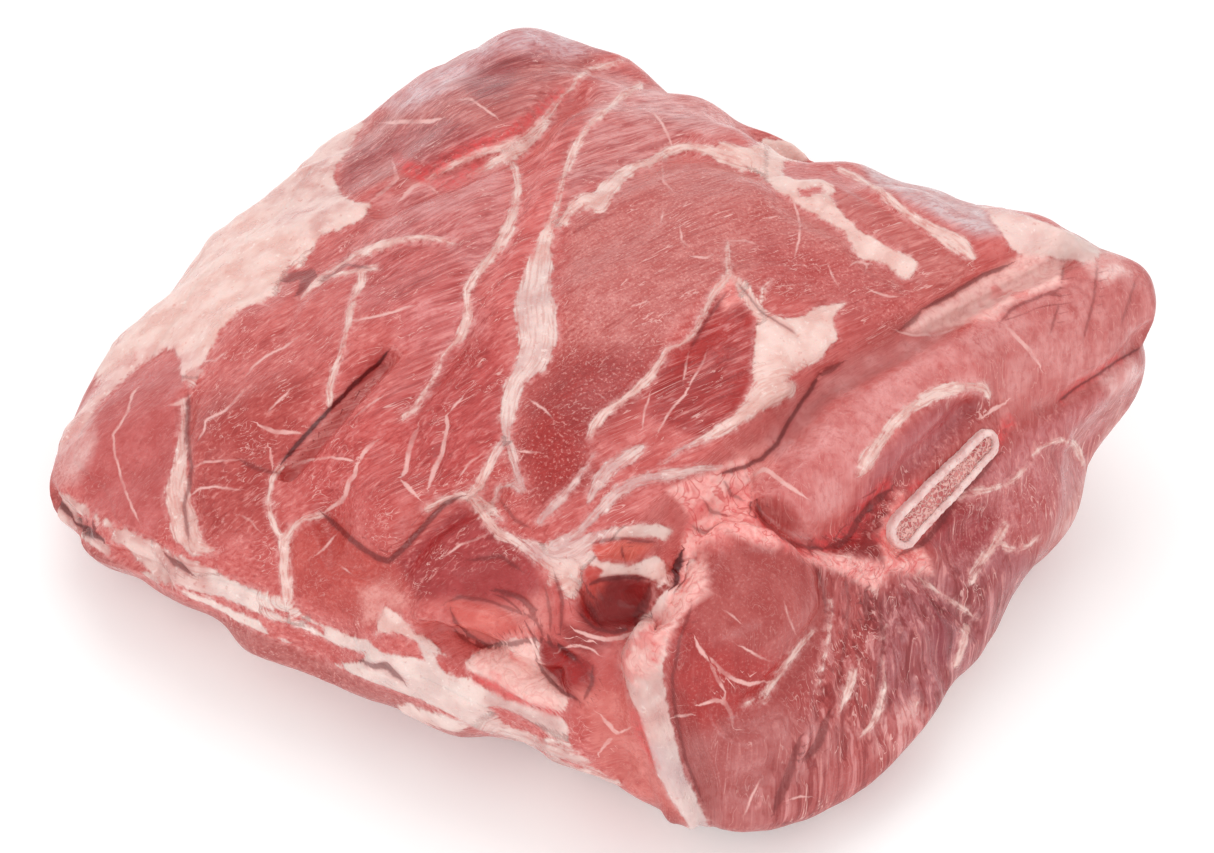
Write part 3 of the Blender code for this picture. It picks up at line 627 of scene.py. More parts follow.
# Tones of the lean, each fitted to the photograph's colour in that area: outline in pixels, softness of
# its edge in pixels, colour
# Each tone keeps the light and shade that fell on its area: the meat's own colour with painted light and
# shade in it
TONES = {
    # Partly the end's own colour, partly painted shade of the end face, which turns away from the light
    "end": (
        ((700, 560), (760, 540), (860, 540), (960, 400), (1000, 300), (1200, 260), (1200, 500), (900, 853),
         (640, 853), (660, 700)), 14, (186, 100, 98)),
    "hump": (
        ((340, 190), (345, 140), (400, 100), (470, 50), (540, 28), (600, 55), (560, 100), (500, 140),
         (430, 180)), 8, (198, 118, 114)),
    "hump_dark": (
        ((490, 58), (540, 50), (553, 60), (520, 68), (505, 95), (480, 100), (455, 80)), 8, (168, 82, 84)),
    "hump_low": (
        ((345, 170), (360, 145), (395, 130), (440, 118), (470, 125), (490, 140), (445, 165), (425, 175),
         (385, 160), (350, 190), (337, 185)), 8, (180, 92, 92)),
    "silver_skin_left": (
        ((380, 105), (460, 50), (535, 20), (605, 50), (570, 58), (500, 52), (450, 90), (410, 110)),
        9, (214, 180, 184)),
    "silver_skin_right": (
        ((860, 160), (940, 185), (978, 200), (1005, 232), (975, 235), (915, 205), (870, 180)),
        8, (216, 190, 192)),
    "top_dusky": (
        ((605, 118), (650, 100), (695, 120), (690, 135), (670, 148), (640, 162), (590, 185), (565, 205),
         (570, 160), (578, 140)), 6, (214, 146, 143)),
    "top_pale": (
        ((600, 70), (640, 85), (700, 105), (745, 130), (700, 145), (690, 118), (640, 98), (605, 115),
         (585, 130)), 8, (222, 160, 157)),
    "seam_strip": (
        ((505, 160), (560, 120), (562, 190), (545, 250), (520, 290), (500, 330), (475, 310), (500, 250),
         (515, 200)), 8, (219, 122, 118)),
    "left_pale": (
        ((385, 195), (440, 180), (505, 165), (505, 210), (490, 250), (470, 280), (440, 250), (380, 240)),
        12, (214, 140, 138)),
    "left_below": (
        ((340, 255), (400, 245), (450, 250), (470, 290), (450, 340), (400, 330), (350, 300)),
        12, (204, 110, 108)),
    "belly_deep": (
        ((185, 405), (260, 380), (320, 370), (300, 430), (270, 480), (270, 530), (200, 540), (190, 480)),
        16, (188, 92, 88)),
    "left_corner": (
        ((50, 440), (110, 390), (185, 350), (183, 430), (180, 500), (150, 540), (90, 510)),
        12, (200, 108, 106)),
    "middle_pale": (
        ((385, 300), (420, 290), (480, 300), (490, 340), (450, 360), (400, 345)), 10, (216, 132, 130)),
    "under_gash": (
        ((290, 460), (380, 390), (450, 400), (440, 460), (380, 520), (320, 510)), 12, (206, 104, 101)),
    "gash_lips": (
        ((283, 462), (300, 440), (335, 398), (375, 366), (388, 366), (350, 412), (318, 446), (296, 470)),
        5, (218, 148, 143)),
    "front_bulge": (
        ((285, 530), (330, 520), (390, 565), (410, 600), (380, 630), (330, 615), (290, 590)),
        8, (196, 92, 86)),
    "bulge_foot": (((360, 590), (390, 575), (410, 600), (390, 620), (360, 625)), 8, (222, 150, 143)),
    "middle": (
        ((400, 400), (450, 350), (500, 330), (510, 400), (500, 450), (450, 490), (410, 460)),
        14, (198, 94, 92)),
    "front_dark": (
        ((395, 560), (460, 505), (530, 545), (545, 590), (520, 600), (460, 600), (420, 600)),
        8, (174, 76, 77)),
    "eye_upper": (
        ((570, 220), (600, 200), (660, 165), (730, 165), (800, 210), (900, 270), (900, 330), (830, 300),
         (760, 290), (700, 300), (660, 350), (560, 360)), 12, (204, 124, 119)),
    "eye_lower": (
        ((530, 390), (560, 360), (600, 350), (660, 350), (640, 400), (590, 440), (600, 480), (540, 510),
         (515, 450)), 20, (170, 66, 64)),
    "eye_right": (
        ((750, 230), (900, 270), (910, 330), (850, 350), (830, 300), (760, 290)), 16, (197, 104, 101)),
    "wedge": (
        ((730, 280), (710, 300), (690, 338), (662, 358), (650, 395), (645, 415), (700, 440), (738, 412),
         (752, 380), (756, 330), (748, 300)), 5, (178, 68, 66)),
    "rim_muscle": (
        ((828, 205), (850, 188), (890, 210), (945, 250), (975, 262), (960, 285), (920, 300), (905, 278),
         (917, 262), (865, 232)), 5, (203, 120, 115)),
    "end_muscle": (
        ((765, 440), (800, 395), (850, 360), (930, 330), (980, 340), (1000, 380), (940, 400), (880, 430),
         (850, 500), (800, 540), (760, 500)), 8, (220, 146, 143)),
    "blade_muscle": (
        ((880, 455), (905, 428), (940, 400), (985, 400), (975, 415), (930, 460), (885, 497), (845, 535),
         (850, 510), (870, 475)), 8, (184, 104, 106)),
    "right_side": (
        ((960, 340), (1050, 280), (1130, 265), (1165, 310), (1100, 380), (1060, 400), (1000, 420),
         (985, 370)), 12, (212, 142, 139)),
    "right_low": (
        ((960, 480), (1060, 410), (1110, 390), (1090, 470), (1050, 530), (1000, 540), (950, 560)),
        10, (196, 122, 123)),
    "under_bone": (
        ((945, 510), (985, 500), (1000, 520), (985, 550), (955, 560), (930, 545)), 8, (166, 74, 78)),
    "right_edge": (
        ((1120, 410), (1095, 455), (1075, 500), (1055, 535), (1100, 540), (1160, 420)), 10, (220, 176, 172)),
    "low_right": (
        ((930, 570), (1000, 540), (1050, 560), (980, 660), (930, 720), (880, 740), (870, 600)),
        14, (174, 104, 107)),
    "lobe_top": (
        ((700, 560), (760, 540), (820, 570), (830, 620), (790, 660), (720, 640), (690, 600)),
        10, (183, 97, 94)),
    "lobe_middle": (
        ((665, 600), (700, 640), (790, 660), (770, 700), (700, 740), (672, 700)), 14, (178, 72, 70)),
    "lobe_foot": (
        ((675, 740), (780, 710), (860, 730), (760, 840), (705, 850)), 16, (190, 118, 116)),
    # Painted shade: the dark in the cleft under the roll
    "shaded_cleft": (
        ((805, 546), (830, 538), (848, 526), (862, 510), (880, 494), (892, 500), (882, 525), (880, 545),
         (885, 560), (860, 556), (835, 553)), 5, (150, 40, 40)),
    "corner_pale": (((1082, 244), (1110, 248), (1132, 270), (1108, 282), (1085, 272)), 6, (238, 200, 195)),
    "pocket_foot": (((560, 622), (600, 632), (612, 645), (588, 655), (565, 645)), 5, (166, 76, 74)),
    "end_foot_pale": (((878, 715), (915, 698), (925, 715), (902, 750), (875, 755)), 8, (220, 166, 163)),
    "right_pale": (((1098, 378), (1130, 355), (1142, 375), (1112, 398)), 7, (226, 176, 173)),
    "left_edge": (((50, 430), (88, 398), (96, 440), (78, 482), (50, 485)), 8, (226, 178, 174)),
    "wedge_top": (((712, 285), (735, 278), (748, 300), (725, 312)), 5, (240, 162, 155)),
    # Partly the meat's own paler colour, partly painted light that offsets the shade of the valley at the
    # roll's end
    "roll_end": (((735, 450), (765, 443), (778, 465), (757, 480), (738, 472)), 6, (242, 168, 162)),
    # Painted shade beside the slit
    "slit_side": (((655, 575), (668, 562), (676, 575), (668, 600), (655, 598)), 4, (170, 78, 72)),
    "tongue_flap": (
        ((447, 603), (455, 600), (490, 605), (530, 620), (545, 632), (520, 640), (485, 643), (460, 628)),
        5, (222, 124, 116)),
    "flap_fascia": (
        ((500, 606), (520, 608), (545, 590), (552, 600), (548, 632), (530, 632)), 6, (228, 154, 148)),
    "orange_block": (((590, 545), (620, 540), (655, 545), (635, 562), (595, 560)), 4, (224, 114, 100)),
    "dark_block": (
        ((531, 642), (555, 642), (592, 662), (596, 682), (582, 706), (562, 694), (540, 674)),
        4, (164, 54, 54)),
    # Painted shade: the dark of the pocket's hollow
    "pocket": (
        ((580, 590), (592, 580), (615, 574), (642, 574), (654, 582), (650, 605), (642, 622), (625, 634),
         (603, 634), (586, 628), (576, 615)), 7, (148, 56, 54)),
    "pocket_wall": (((578, 568), (600, 562), (606, 584), (594, 602), (580, 600)), 5, (204, 90, 82)),
    "pale_salmon": (
        ((575, 690), (600, 680), (640, 700), (660, 760), (690, 825), (650, 800), (600, 770)),
        8, (217, 130, 123)),
    "lower_layer": (
        ((60, 530), (160, 590), (240, 625), (310, 655), (400, 695), (500, 745), (620, 790), (600, 853),
         (0, 853), (0, 500)), 5, (188, 112, 108)),
    "end_dusky": (
        ((928, 595), (945, 603), (955, 615), (958, 630), (955, 650), (942, 670), (935, 655), (932, 625)),
        6, (150, 74, 80)),
}
# Tones of the fat, fitted in the same way: outline in pixels, softness of its edge in pixels, colour
FAT_TONES = {
    "left_fat": (
        ((30, 440), (300, 60), (400, 110), (390, 203), (320, 250), (225, 346), (140, 380), (80, 440)),
        14, (240, 190, 180)),
    "left_top": (
        ((260, 200), (340, 130), (390, 115), (395, 180), (320, 240), (280, 230)), 14, (226, 172, 165)),
    "left_foot": (
        ((50, 450), (95, 385), (150, 345), (210, 355), (195, 392), (150, 365), (110, 400), (75, 450)),
        10, (226, 158, 152)),
    "main_seam": (
        ((515, 270), (580, 250), (580, 340), (540, 400), (500, 480), (485, 400), (505, 330)),
        8, (226, 184, 179)),
    "corner_fat": (((975, 200), (1100, 230), (1110, 275), (1020, 275), (985, 235)), 6, (238, 192, 186)),
    "eye_back": (
        ((700, 130), (850, 150), (930, 265), (900, 290), (800, 215), (700, 165)), 8, (236, 188, 179)),
    "front_band": (
        ((50, 480), (200, 555), (345, 637), (430, 640), (570, 720), (620, 780), (560, 780), (400, 705),
         (240, 635), (100, 565)), 6, (232, 200, 194)),
    "band_left": (
        ((45, 480), (130, 525), (210, 560), (210, 600), (120, 570), (45, 515)), 8, (216, 158, 152)),
    "band_right": (((480, 690), (570, 720), (620, 785), (560, 780), (480, 740)), 8, (216, 170, 165)),
    "collar": (
        ((690, 555), (615, 640), (635, 720), (700, 845), (720, 835), (670, 690), (705, 600)),
        8, (234, 182, 176)),
    "collar_foot": (((645, 740), (680, 740), (720, 840), (690, 840)), 10, (228, 194, 192)),
    "centre": (
        ((490, 440), (730, 440), (730, 480), (620, 520), (600, 560), (530, 565), (500, 520)),
        8, (216, 164, 161)),
    "patch": (
        ((728, 275), (850, 300), (835, 350), (790, 400), (730, 425), (750, 380), (750, 330)),
        8, (236, 188, 179)),
}
# Tones without an area of their own, and the lean of the sides that the photograph doesn't show
BASE_FAT = (232, 182, 174)
BASE_LEAN = (209, 115, 111)
HIDDEN_LEAN = (196, 106, 102)
# A tone as seen has the skin's sheen in it, which is taken off. Fat gets a share of what is left.
TONE_SHEEN = 0.03
TONE_FLOOR = 0.012
FAT_GAIN = 0.9

# Small forms of the front that stand out or sink in: line and half width in pixels, height in mm
SMALL_FORMS = {
    "tongue_flap": (((455, 612), (490, 620), (525, 632)), 16, 2.2),
    "sheet_roll": (((480, 660), (515, 668), (550, 690)), 14, 0.9),
    "dark_block": (((545, 655), (575, 680)), 16, 1.8),
    "orange_block": (((595, 552), (650, 550)), 9, 1.6),
    "pocket": (((600, 600), (625, 600)), 26, -1.8),
    "collar_rim": (((690, 570), (655, 610), (634, 655), (645, 710), (665, 770), (690, 820)), 13, 1.8),
    "knot": (((700, 505), (725, 490), (742, 480)), 18, 1.5),
    "knot_foot": (((690, 560), (725, 530), (770, 538)), 12, 1.4),
    "end_strip": (((985, 392), (930, 396), (890, 430), (860, 470)), 8, 0.9),
    "streak_1": (((785, 388), (740, 416), (690, 447)), 8, 0.8),
    "streak_2": (((700, 469), (640, 481), (600, 508), (560, 544)), 7, 0.7),
    "streak_4": (((583, 472), (550, 505), (525, 535)), 8, 0.7),
    "bulge_line": (((290, 530), (286, 560), (290, 598)), 7, -0.8),
    "belly_step": (((345, 255), (300, 295), (280, 330)), 10, -0.9),
    "left_fold_1": (((352, 258), (400, 244), (450, 246)), 7, -0.9),
    "rim_edge": (((845, 185), (900, 215), (960, 250)), 8, -0.9),
    "tongue_edge": (((920, 325), (960, 305), (1010, 280), (1045, 262)), 10, 1.4),
    "muscle_gap_1": (((412, 400), (420, 440), (405, 475)), 8, -0.8),
    "muscle_gap_2": (((470, 330), (440, 380), (420, 405)), 7, -0.8),
    "muscle_gap_3": (((445, 410), (440, 460), (428, 490)), 7, -0.9),
    "end_arc": (((1000, 487), (1040, 450), (1080, 455)), 7, -0.8),
}

# Where the drawn marks count. Each pair is where they start and where they count fully: towards the edge of
# the front and the end, up the left side and the back, under the foot, and as a surface turns to the camera.
AT_EDGE = 0.97
SHOWN_SIDES = (0.85, AT_EDGE)
SHOWN_HEIGHT = (0.1, 0.7)
SHOWN_FOOT = (0.3, 0.6)
TURNED_TO_CAMERA = (-0.25, 0.0)
# The made-up fat of the hidden sides: marbling in thin lines, a cover on the left side, none on the hump
HIDDEN_SEAM = 1.2
HIDDEN_FALL = 9
HIDDEN_RAGGED = 0.4
LEFT_COVER = 7
HUMP_BARE = 12
# Unevenness of the skin: sizes of its noises, and what lean, fat and wrinkled tissue take of each, all in
# millimetres, with how far fat and tissue stand out
NOISE_SIZES = {"broad": 26, "middle": 13, "small": 6, "fine": 3}
LEAN_ROUGHNESS = {"middle": 0.35, "small": 0.18, "fine": 0.08}
FAT_ROUGHNESS = {"small": 0.35, "fine": 0.2}
FAT_PROUD = 0.45
TISSUE_ROUGHNESS = {"small": 0.9, "fine": 0.6}
TISSUE_PROUD = 0.4
# Grooves beside the fat and at the veins, and the share of a crease's depth that the mesh takes with the
# least half width, in pixels, that the mesh can show
FAT_GROOVE = 0.2
FAT_GROOVE_PLACE = 0.9
VEIN_GROOVE = 0.15
VEIN_GROOVE_WIDTH = 0.8
CREASE_RELIEF = 0.6
CREASE_SPREAD = 1.5
CREASE_LEAST = 5
# Softness of edges, in pixels
TISSUE_SOFTNESS = 4
GRAIN_SOFTNESS = 10
FIBROUS_SOFTNESS = 14
CALM_SOFTNESS = 12
BLUSH_SPREAD = 1.8

# How the meat's fibres run on the top and down the end: their turn, and how much they are squeezed
TOP_FIBRES = ((0, 0, math.radians(-62)), (90, 950, 950))
END_FIBRES = ((0, math.radians(99), math.radians(-17)), (42, 700, 700))
# How close the pattern of the fat's strands is along its seams and across them
STRAND_ALONG = 0.16
STRAND_ACROSS = 1.1
# Scratches of the saw: the turn of their pattern in radians and its stretch. Then how ragged the bone is
# inside the meat.
SAW_MARKS = ((0.3, 0.2, 1.2), (90, 1500, 1500))
INSIDE_RAGGED = 0.05
# Noises of the materials: scale, detail, roughness and distortion
NOISES = {
    "fibre": (1.0, 2, 0.6, 0.5),
    "cord": (0.42, 2, 0.6, 0.8),
    "streak": (0.36, 2, 0.5, 1.6),
    "strand": (1.0, 2, 0.6, 0.3),
    "blotch": (110, 2, 0.55, 0),
    "mottle": (420, 3, 0.65, 0),
    "speckle": (1250, 2, 0.6, 0),
    "fold": (125, 2, 0.5, 1.2),
    "bone": (260, 4, 0.6, 0),
    "scratch": (1.0, 2, 0.5, 0),
    "marrow": (240, 4, 0.6, 0),
}
# Colours as they show on a screen. A shade is multiplied with what it lies on.
COLOURS = {
    "dark_shade": (222, 146, 144),
    "pale_fibre": (238, 164, 157),
    "cord_shade": (206, 120, 124),
    "pale_cord": (232, 162, 160),
    "speckle": (236, 166, 158),
    "streak": (238, 188, 181),
    "valley_shade": (204, 116, 116),
    "membrane": (228, 166, 162),
    "vein": (232, 178, 172),
    "cream_shade": (246, 214, 208),
    "pale_cream": (250, 226, 218),
    "white_cream": (254, 238, 232),
    "pale_tissue": (250, 206, 198),
    "red_tissue": (226, 96, 94),
    "red_line": (214, 74, 74),
    "blood": (218, 66, 68),
    # Painted shade: the first darkens beside the creases, the next is the dark inside them
    "painted_crease_shade": (202, 92, 94),
    "crease": (96, 8, 10),
    "deep_bone": (218, 176, 172),
    "pale_bone": (234, 204, 199),
    "bone_pore": (206, 110, 106),
    "deep_marrow": (182, 84, 84),
    "pale_marrow": (212, 128, 124),
    "marrow_net": (234, 184, 176),
}
SUBSURFACE_SCALE = 0.002

# Edges sharper than these angles stay sharp
MEAT_EDGE = 70
BONE_EDGE = 50

# The studio: lights with their place, size and power, the light from all around, and the table
LIGHTS = {
    "overhead": ((-0.4, 0.5, 1.6), 1.0, 5),
    "front_left": ((-0.9, -1.4, 1.0), 0.8, 3.5),
    "front_right": ((1.5, -0.9, 0.9), 0.8, 6),
}
WORLD_COLOUR = (1.0, 0.995, 0.99, 1)
WORLD_POWER = 0.90
TABLE_HALF = 4.0
TABLE_DROP = 0.0004
TABLE_COLOUR = (0.93, 0.93, 0.93, 1)
TABLE_GLOW = 0.12


def smooth(value, low, high):
    """0 below low, 1 above high, and an even slope between them."""
    share = np.clip((value - low) / (high - low), 0, 1)
    return share * share * (3 - 2 * share)


def between_corners(corners, u, v):
    """A value or a point given at the four corners, at u and v from -1 to 1."""
    shares = {
        "left_front": (1 - u) * (1 - v) / 4,
        "right_front": (1 + u) * (1 - v) / 4,
        "right_back": (1 + u) * (1 + v) / 4,
        "left_back": (1 - u) * (1 + v) / 4,
    }
    return sum(np.multiply.outer(share, corners[name]) for name, share in shares.items())


def side_shares(u, v, reach):
    """How much of each of the four sides a point belongs to."""
    towards = {"right": u, "left": -u, "front": -v, "back": v}
    shares = {name: np.maximum(value / reach, 0) ** SIDE_SHARPNESS for name, value in towards.items()}
    total = sum(shares.values()) + 1e-9
    return {name: share / total for name, share in shares.items()}


def block_height(u, v):
    return between_corners(TOP_HEIGHT, u, v) + CROWN * (1 - u * u) * (1 - v * v)


def plain_form(cube):
    """The block without its relief, from points of a cube that spans -1 to 1."""
    u, v, w = cube.T
    in_plan = (np.abs(u) ** PLAN_ROUNDNESS + np.abs(v) ** PLAN_ROUNDNESS) ** (1 / PLAN_ROUNDNESS)
    reach = np.maximum(in_plan, 1e-6)
    shares = side_shares(u, v, reach)
    top = sum(shares[name] * TOP_ROUNDNESS[name] for name in shares)
    foot = sum(shares[name] * FOOT_ROUNDNESS[name] for name in shares)
    power = np.maximum(np.where(w > 0, top, foot), 2)
    rounded = np.maximum((reach ** power + np.abs(w) ** power) ** (1 / power), 1e-9)
    u, v, w = (cube * (np.abs(cube).max(axis=1) / rounded)[:, None]).T

    rise = (w + 1) / 2
    at_foot = between_corners(FOOT_PLAN, u, v) * (1 - rise)[:, None]
    plan = at_foot + between_corners(TOP_PLAN, u, v) * rise[:, None]
    bow = {name: at_top * rise + low * (1 - rise) for name, (at_top, low) in BOW.items()}
    across = bow["right"] * np.maximum(u, 0) - bow["left"] * np.maximum(-u, 0)
    along = bow["back"] * np.maximum(v, 0) - bow["front"] * np.maximum(-v, 0)
    plan[:, 0] += across * (1 - v * v)
    plan[:, 1] += along * (1 - u * u)
    height = block_height(u, v) * rise - FLAT_FOOT
    return np.column_stack([plan, height])


def line_distance(points, line):
    """Distance from each 2-D point to a line of straight pieces."""
    nearest = np.full(len(points), np.inf)
    for start, end in zip(np.array(line[:-1], float), np.array(line[1:], float)):
        along = end - start
        share = np.clip((points - start) @ along / (along @ along), 0, 1)
        nearest = np.minimum(nearest, np.linalg.norm(points - start - share[:, None] * along, axis=1))
    return nearest


def bump(distance):
    """1 in the middle, falling evenly to 0 at a distance of 1."""
    return np.clip(1 - distance ** 2, 0, 1) ** 2


def plane_relief(plane, points):
    """Height of all the relief that is drawn on one plane."""
    height = np.zeros(len(points))
    for line, half_width, fold_height in FOLDS[plane].values():
        height += fold_height * bump(line_distance(points, line) / half_width)
    for centre, half_lengths, lobe_height in LOBES[plane].values():
        height += lobe_height * bump(np.linalg.norm((points - centre) / half_lengths, axis=1))
    if plane == "end":
        for number in range(FIBRES):
            start = np.add(FIBRE_START, np.multiply(FIBRE_START_STEP, number))
            end = np.add(FIBRE_END, np.multiply(FIBRE_END_STEP, number))
            height -= FIBRE_DEPTH * bump(line_distance(points, (start, end)) / FIBRE_HALF_WIDTH)
    return height


def form(cube):
    """The joint's shape with its relief: the relief is full on the skin and fades away inside."""
    points = plain_form(cube)
    reach = np.maximum(np.abs(cube).max(axis=1), 1e-6)
    on_skin = reach ** SKIN_POWER
    facing = {"top": cube[:, 2], "front": -cube[:, 1], "end": cube[:, 0], "left": -cube[:, 0]}
    moved = points.copy()
    for plane, (axes, direction) in PLANES.items():
        share = smooth(facing[plane] / reach, FACING_FROM, FACING_FULL) * on_skin
        moved += np.multiply.outer(plane_relief(plane, points[:, axes]) * share, direction)
    for direction, length in WAVES:
        wave = np.sin(points @ direction * math.tau / length) * WAVE_HEIGHT * on_skin
        moved += (points - WAVE_MIDDLE) / WAVE_SPREAD * wave[:, None]
    moved[:, 2] = np.maximum(moved[:, 2], 0)
    moved[:, :2] -= PLAN_MIDDLE
    return moved


def seam_levels(u, v):
    """Where the main lean ends and where the fat ends, as w values of the block at u and v."""
    taper = 1 - smooth(u, TAPER_START, 1.0)
    wrap = smooth(-u, WRAP_START, 1.0) * (1 - v * v)
    fat_top = FAT_SEAM_AT_END + (FAT_SEAM - FAT_SEAM_AT_END) * taper
    fat_top += FAT_SEAM_RISE * wrap - FAT_SEAM_SAG * np.maximum(-u, 0) ** 2
    thickness = FAT_THICKNESS_AT_END + (FAT_THICKNESS - FAT_THICKNESS_AT_END) * taper
    height = block_height(u, v)
    top_level = 2 * (fat_top + FLAT_FOOT) / height - 1
    foot_level = 2 * (fat_top - thickness + FLAT_FOOT) / height - 1
    return top_level, foot_level


def camera_axes():
    """The camera's right, up and backward directions, and its place in millimetres."""
    turn, lift = math.radians(AZIMUTH), math.radians(ELEVATION)
    back = np.array((math.sin(turn) * math.cos(lift), -math.cos(turn) * math.cos(lift), math.sin(lift)))
    right = np.array((math.cos(turn), math.sin(turn), 0))
    return right, np.cross(back, right), back, np.array(CAMERA_TARGET) + back * CAMERA_DISTANCE


def to_pixels(points):
    """Where points of the joint lie on the photograph."""
    right, up, back, place = camera_axes()
    away = points - place
    scale = LENS / SENSOR * IMAGE_WIDTH / -(away @ back)
    across = IMAGE_WIDTH / 2 + away @ right * scale
    down = IMAGE_HEIGHT / 2 - away @ up * scale
    return np.column_stack([across, down])


def near_box(points, line, margin):
    """Numbers of the points that lie within a margin of the line's box."""
    corners = np.array(line, float)[:, :2]
    low, high = corners.min(axis=0) - margin, corners.max(axis=0) + margin
    return np.flatnonzero(((points > low) & (points < high)).all(axis=1))


def line_field(points, line):
    """Distance to a line, below 0 on its left, and the line's half width and run at the nearest place."""
    line = np.array(line, float)
    nearest = np.full(len(points), np.inf)
    side = np.ones(len(points))
    width = np.ones(len(points))
    run = np.zeros(len(points))
    passed = 0.0
    for start, end in zip(line[:-1], line[1:]):
        along = (end - start)[:2]
        from_start = points - start[:2]
        share = np.clip(from_start @ along / (along @ along), 0, 1)
        distance = np.linalg.norm(from_start - share[:, None] * along, axis=1)
        closer = distance < nearest
        nearest = np.where(closer, distance, nearest)
        across = along[0] * from_start[:, 1] - along[1] * from_start[:, 0]
        side = np.where(closer, np.where(across < 0, -1, 1), side)
        length = np.linalg.norm(along)
        run = np.where(closer, passed + share * length, run)
        passed += length
        if line.shape[1] > 2:
            width = np.where(closer, start[2] + share * (end[2] - start[2]), width)
    return nearest * side, width, run


def inside_distance(points, outline, margin):
    """Distance to an outline: above 0 inside it, below 0 outside, and no lower than the margin."""
    result = np.full(len(points), -float(margin))
    near = near_box(points, outline, margin)
    if len(near) == 0:
        return result
    place = points[near]
    corners = np.array(outline, float)
    closed = np.vstack([corners, corners[:1]])
    distance = line_field(place, closed)[0]
    inside = np.zeros(len(place), bool)
    for (x1, y1), (x2, y2) in zip(closed[:-1], closed[1:]):
        if y1 != y2:
            crosses = (y1 > place[:, 1]) != (y2 > place[:, 1])
            left_of = place[:, 0] < (x2 - x1) * (place[:, 1] - y1) / (y2 - y1) + x1
            inside ^= crosses & left_of
    result[near] = np.maximum(np.where(inside, 1, -1) * np.abs(distance), -margin)
    return result


def fat_field(pixels):
    """How deep each point lies inside the fat, below 0 in the lean, its place across and along the
    nearest seam, and the seam's half width there: all in millimetres."""
    depth = np.full(len(pixels), -float(FAT_MARGIN))
    across = np.full(len(pixels), float(FAT_MARGIN))
    along = np.zeros(len(pixels))
    breadth = np.full(len(pixels), float(FAT_MARGIN))
    for line in FAT_LINES.values():
        near = near_box(pixels, line, FAT_MARGIN)
        distance, width, run = line_field(pixels[near], line)
        inside = width - np.abs(distance)
        deeper = inside > depth[near]
        depth[near] = np.where(deeper, inside, depth[near])
        across[near] = np.where(deeper, distance, across[near])
        along[near] = np.where(deeper, run, along[near])
        breadth[near] = np.where(deeper, width, breadth[near])
    for outline in FAT_AREAS.values():
        inside = inside_distance(pixels, outline, FAT_MARGIN)
        breadth[inside > depth] = FAT_MARGIN
        depth = np.maximum(depth, inside)
    for outline in LEAN_AREAS.values():
        depth = np.minimum(depth, -inside_distance(pixels, outline, FAT_MARGIN))
    return depth * PIXEL_MM, across * PIXEL_MM, along * PIXEL_MM, breadth * PIXEL_MM


def mark_field(pixels, marks):
    """Signed distance to the nearest drawn mark, the mark's half width there, both in millimetres, and its
    strength. A mark is a line in pixels, half its width in pixels and its strength."""
    nearest = np.full(len(pixels), float(MARK_REACH))
    next_nearest = nearest.copy()
    width = np.zeros(len(pixels))
    strength = np.zeros(len(pixels))
    for line, half_width, mark_strength in marks:
        near = near_box(pixels, line, MARK_REACH)
        distance, _, run = line_field(pixels[near], line)
        best = nearest[near]
        closer = np.abs(distance) < np.abs(best)
        beaten = np.where(closer, best, distance)
        second = next_nearest[near]
        next_nearest[near] = np.where(np.abs(beaten) < np.abs(second), beaten, second)
        nearest[near] = np.where(closer, distance, best)
        from_end = np.minimum(run, run.max(initial=0) - run)
        tapered = half_width * (MARK_TIP + (1 - MARK_TIP) * smooth(from_end, 0, MARK_REACH))
        width[near] = np.where(closer, tapered, width[near])
        strength[near] = np.where(closer, mark_strength, strength[near])
    width *= 1 - smooth(np.abs(nearest), 0.5 * MARK_REACH, 0.9 * MARK_REACH)
    clash = (nearest * next_nearest < 0) & (np.abs(next_nearest) < MARK_REACH)
    width *= np.where(clash, smooth(np.abs(next_nearest) - np.abs(nearest), *MARK_APART), 1)
    return nearest * PIXEL_MM, width * PIXEL_MM, strength


def vein_marks():
    groups = ((FINE_VEIN, FINE_VEINS), (BROAD_VEIN, BROAD_VEINS))
    return [(line, width, 1) for width, veins in groups for lines in veins.values() for line in lines]


def drawn_sum(pixels, drawn, spread):
    """The highest share of a set of drawn lines, each with its half width and its strength."""
    share = np.zeros(len(pixels))
    for line, half_width, strength in drawn:
        near = near_box(pixels, line, half_width * spread)
        distance = line_field(pixels[near], line)[0]
        share[near] = np.maximum(share[near], strength * bump(distance / (half_width * spread)))
    return share


def area_share(pixels, areas, softness):
    """How far each point lies inside a set of areas, each with its strength."""
    share = np.zeros(len(pixels))
    for outline, strength in areas.values():
        inside = smooth(inside_distance(pixels, outline, softness), -softness, softness)
        share = np.maximum(share, strength * inside)
    return share


def lattice_noise(points, size):
    """Smooth random values from -1 to 1, in cells of the given size in millimetres, seeded by that size."""
    cells = 32
    values = np.random.default_rng(size).uniform(-1, 1, (cells, cells, cells))
    place = points / size
    base = np.floor(place).astype(int)
    part = place - base
    part = part * part * (3 - 2 * part)
    total = np.zeros(len(points))
    for corner in np.ndindex(2, 2, 2):
        weight = np.where(corner, part, 1 - part).prod(axis=1)
        x, y, z = ((base + corner) % cells).T
        total += weight * values[x, y, z]
    return total


def linear(colour):
    """A colour from 0 to 255, as it shows on a screen, as the shader's linear values."""
    share = np.array(colour, float) / 255
    return np.where(share <= 0.04045, share / 12.92, ((share + 0.055) / 1.055) ** 2.4)


def pigment(tone):
    """The shader's colour for a tone as it is seen, which has the skin's sheen and paler fibres in it."""
    return np.maximum(linear(tone) - TONE_SHEEN, TONE_FLOOR)


def tone_field(pixels, seen, base, tones, hidden, gain):
    """The colour at each point, as the shader's linear values: a base tone, tones drawn over it, and
    the tone of the sides that the photograph doesn't show."""
    colour = np.tile(pigment(base), (len(pixels), 1))
    for outline, softness, tone in tones.values():
        share = smooth(inside_distance(pixels, outline, softness), -softness, softness)
        colour += (pigment(tone) - colour) * share[:, None]
    unseen = pigment(hidden)
    return (unseen + (colour - unseen) * seen[:, None]) * gain


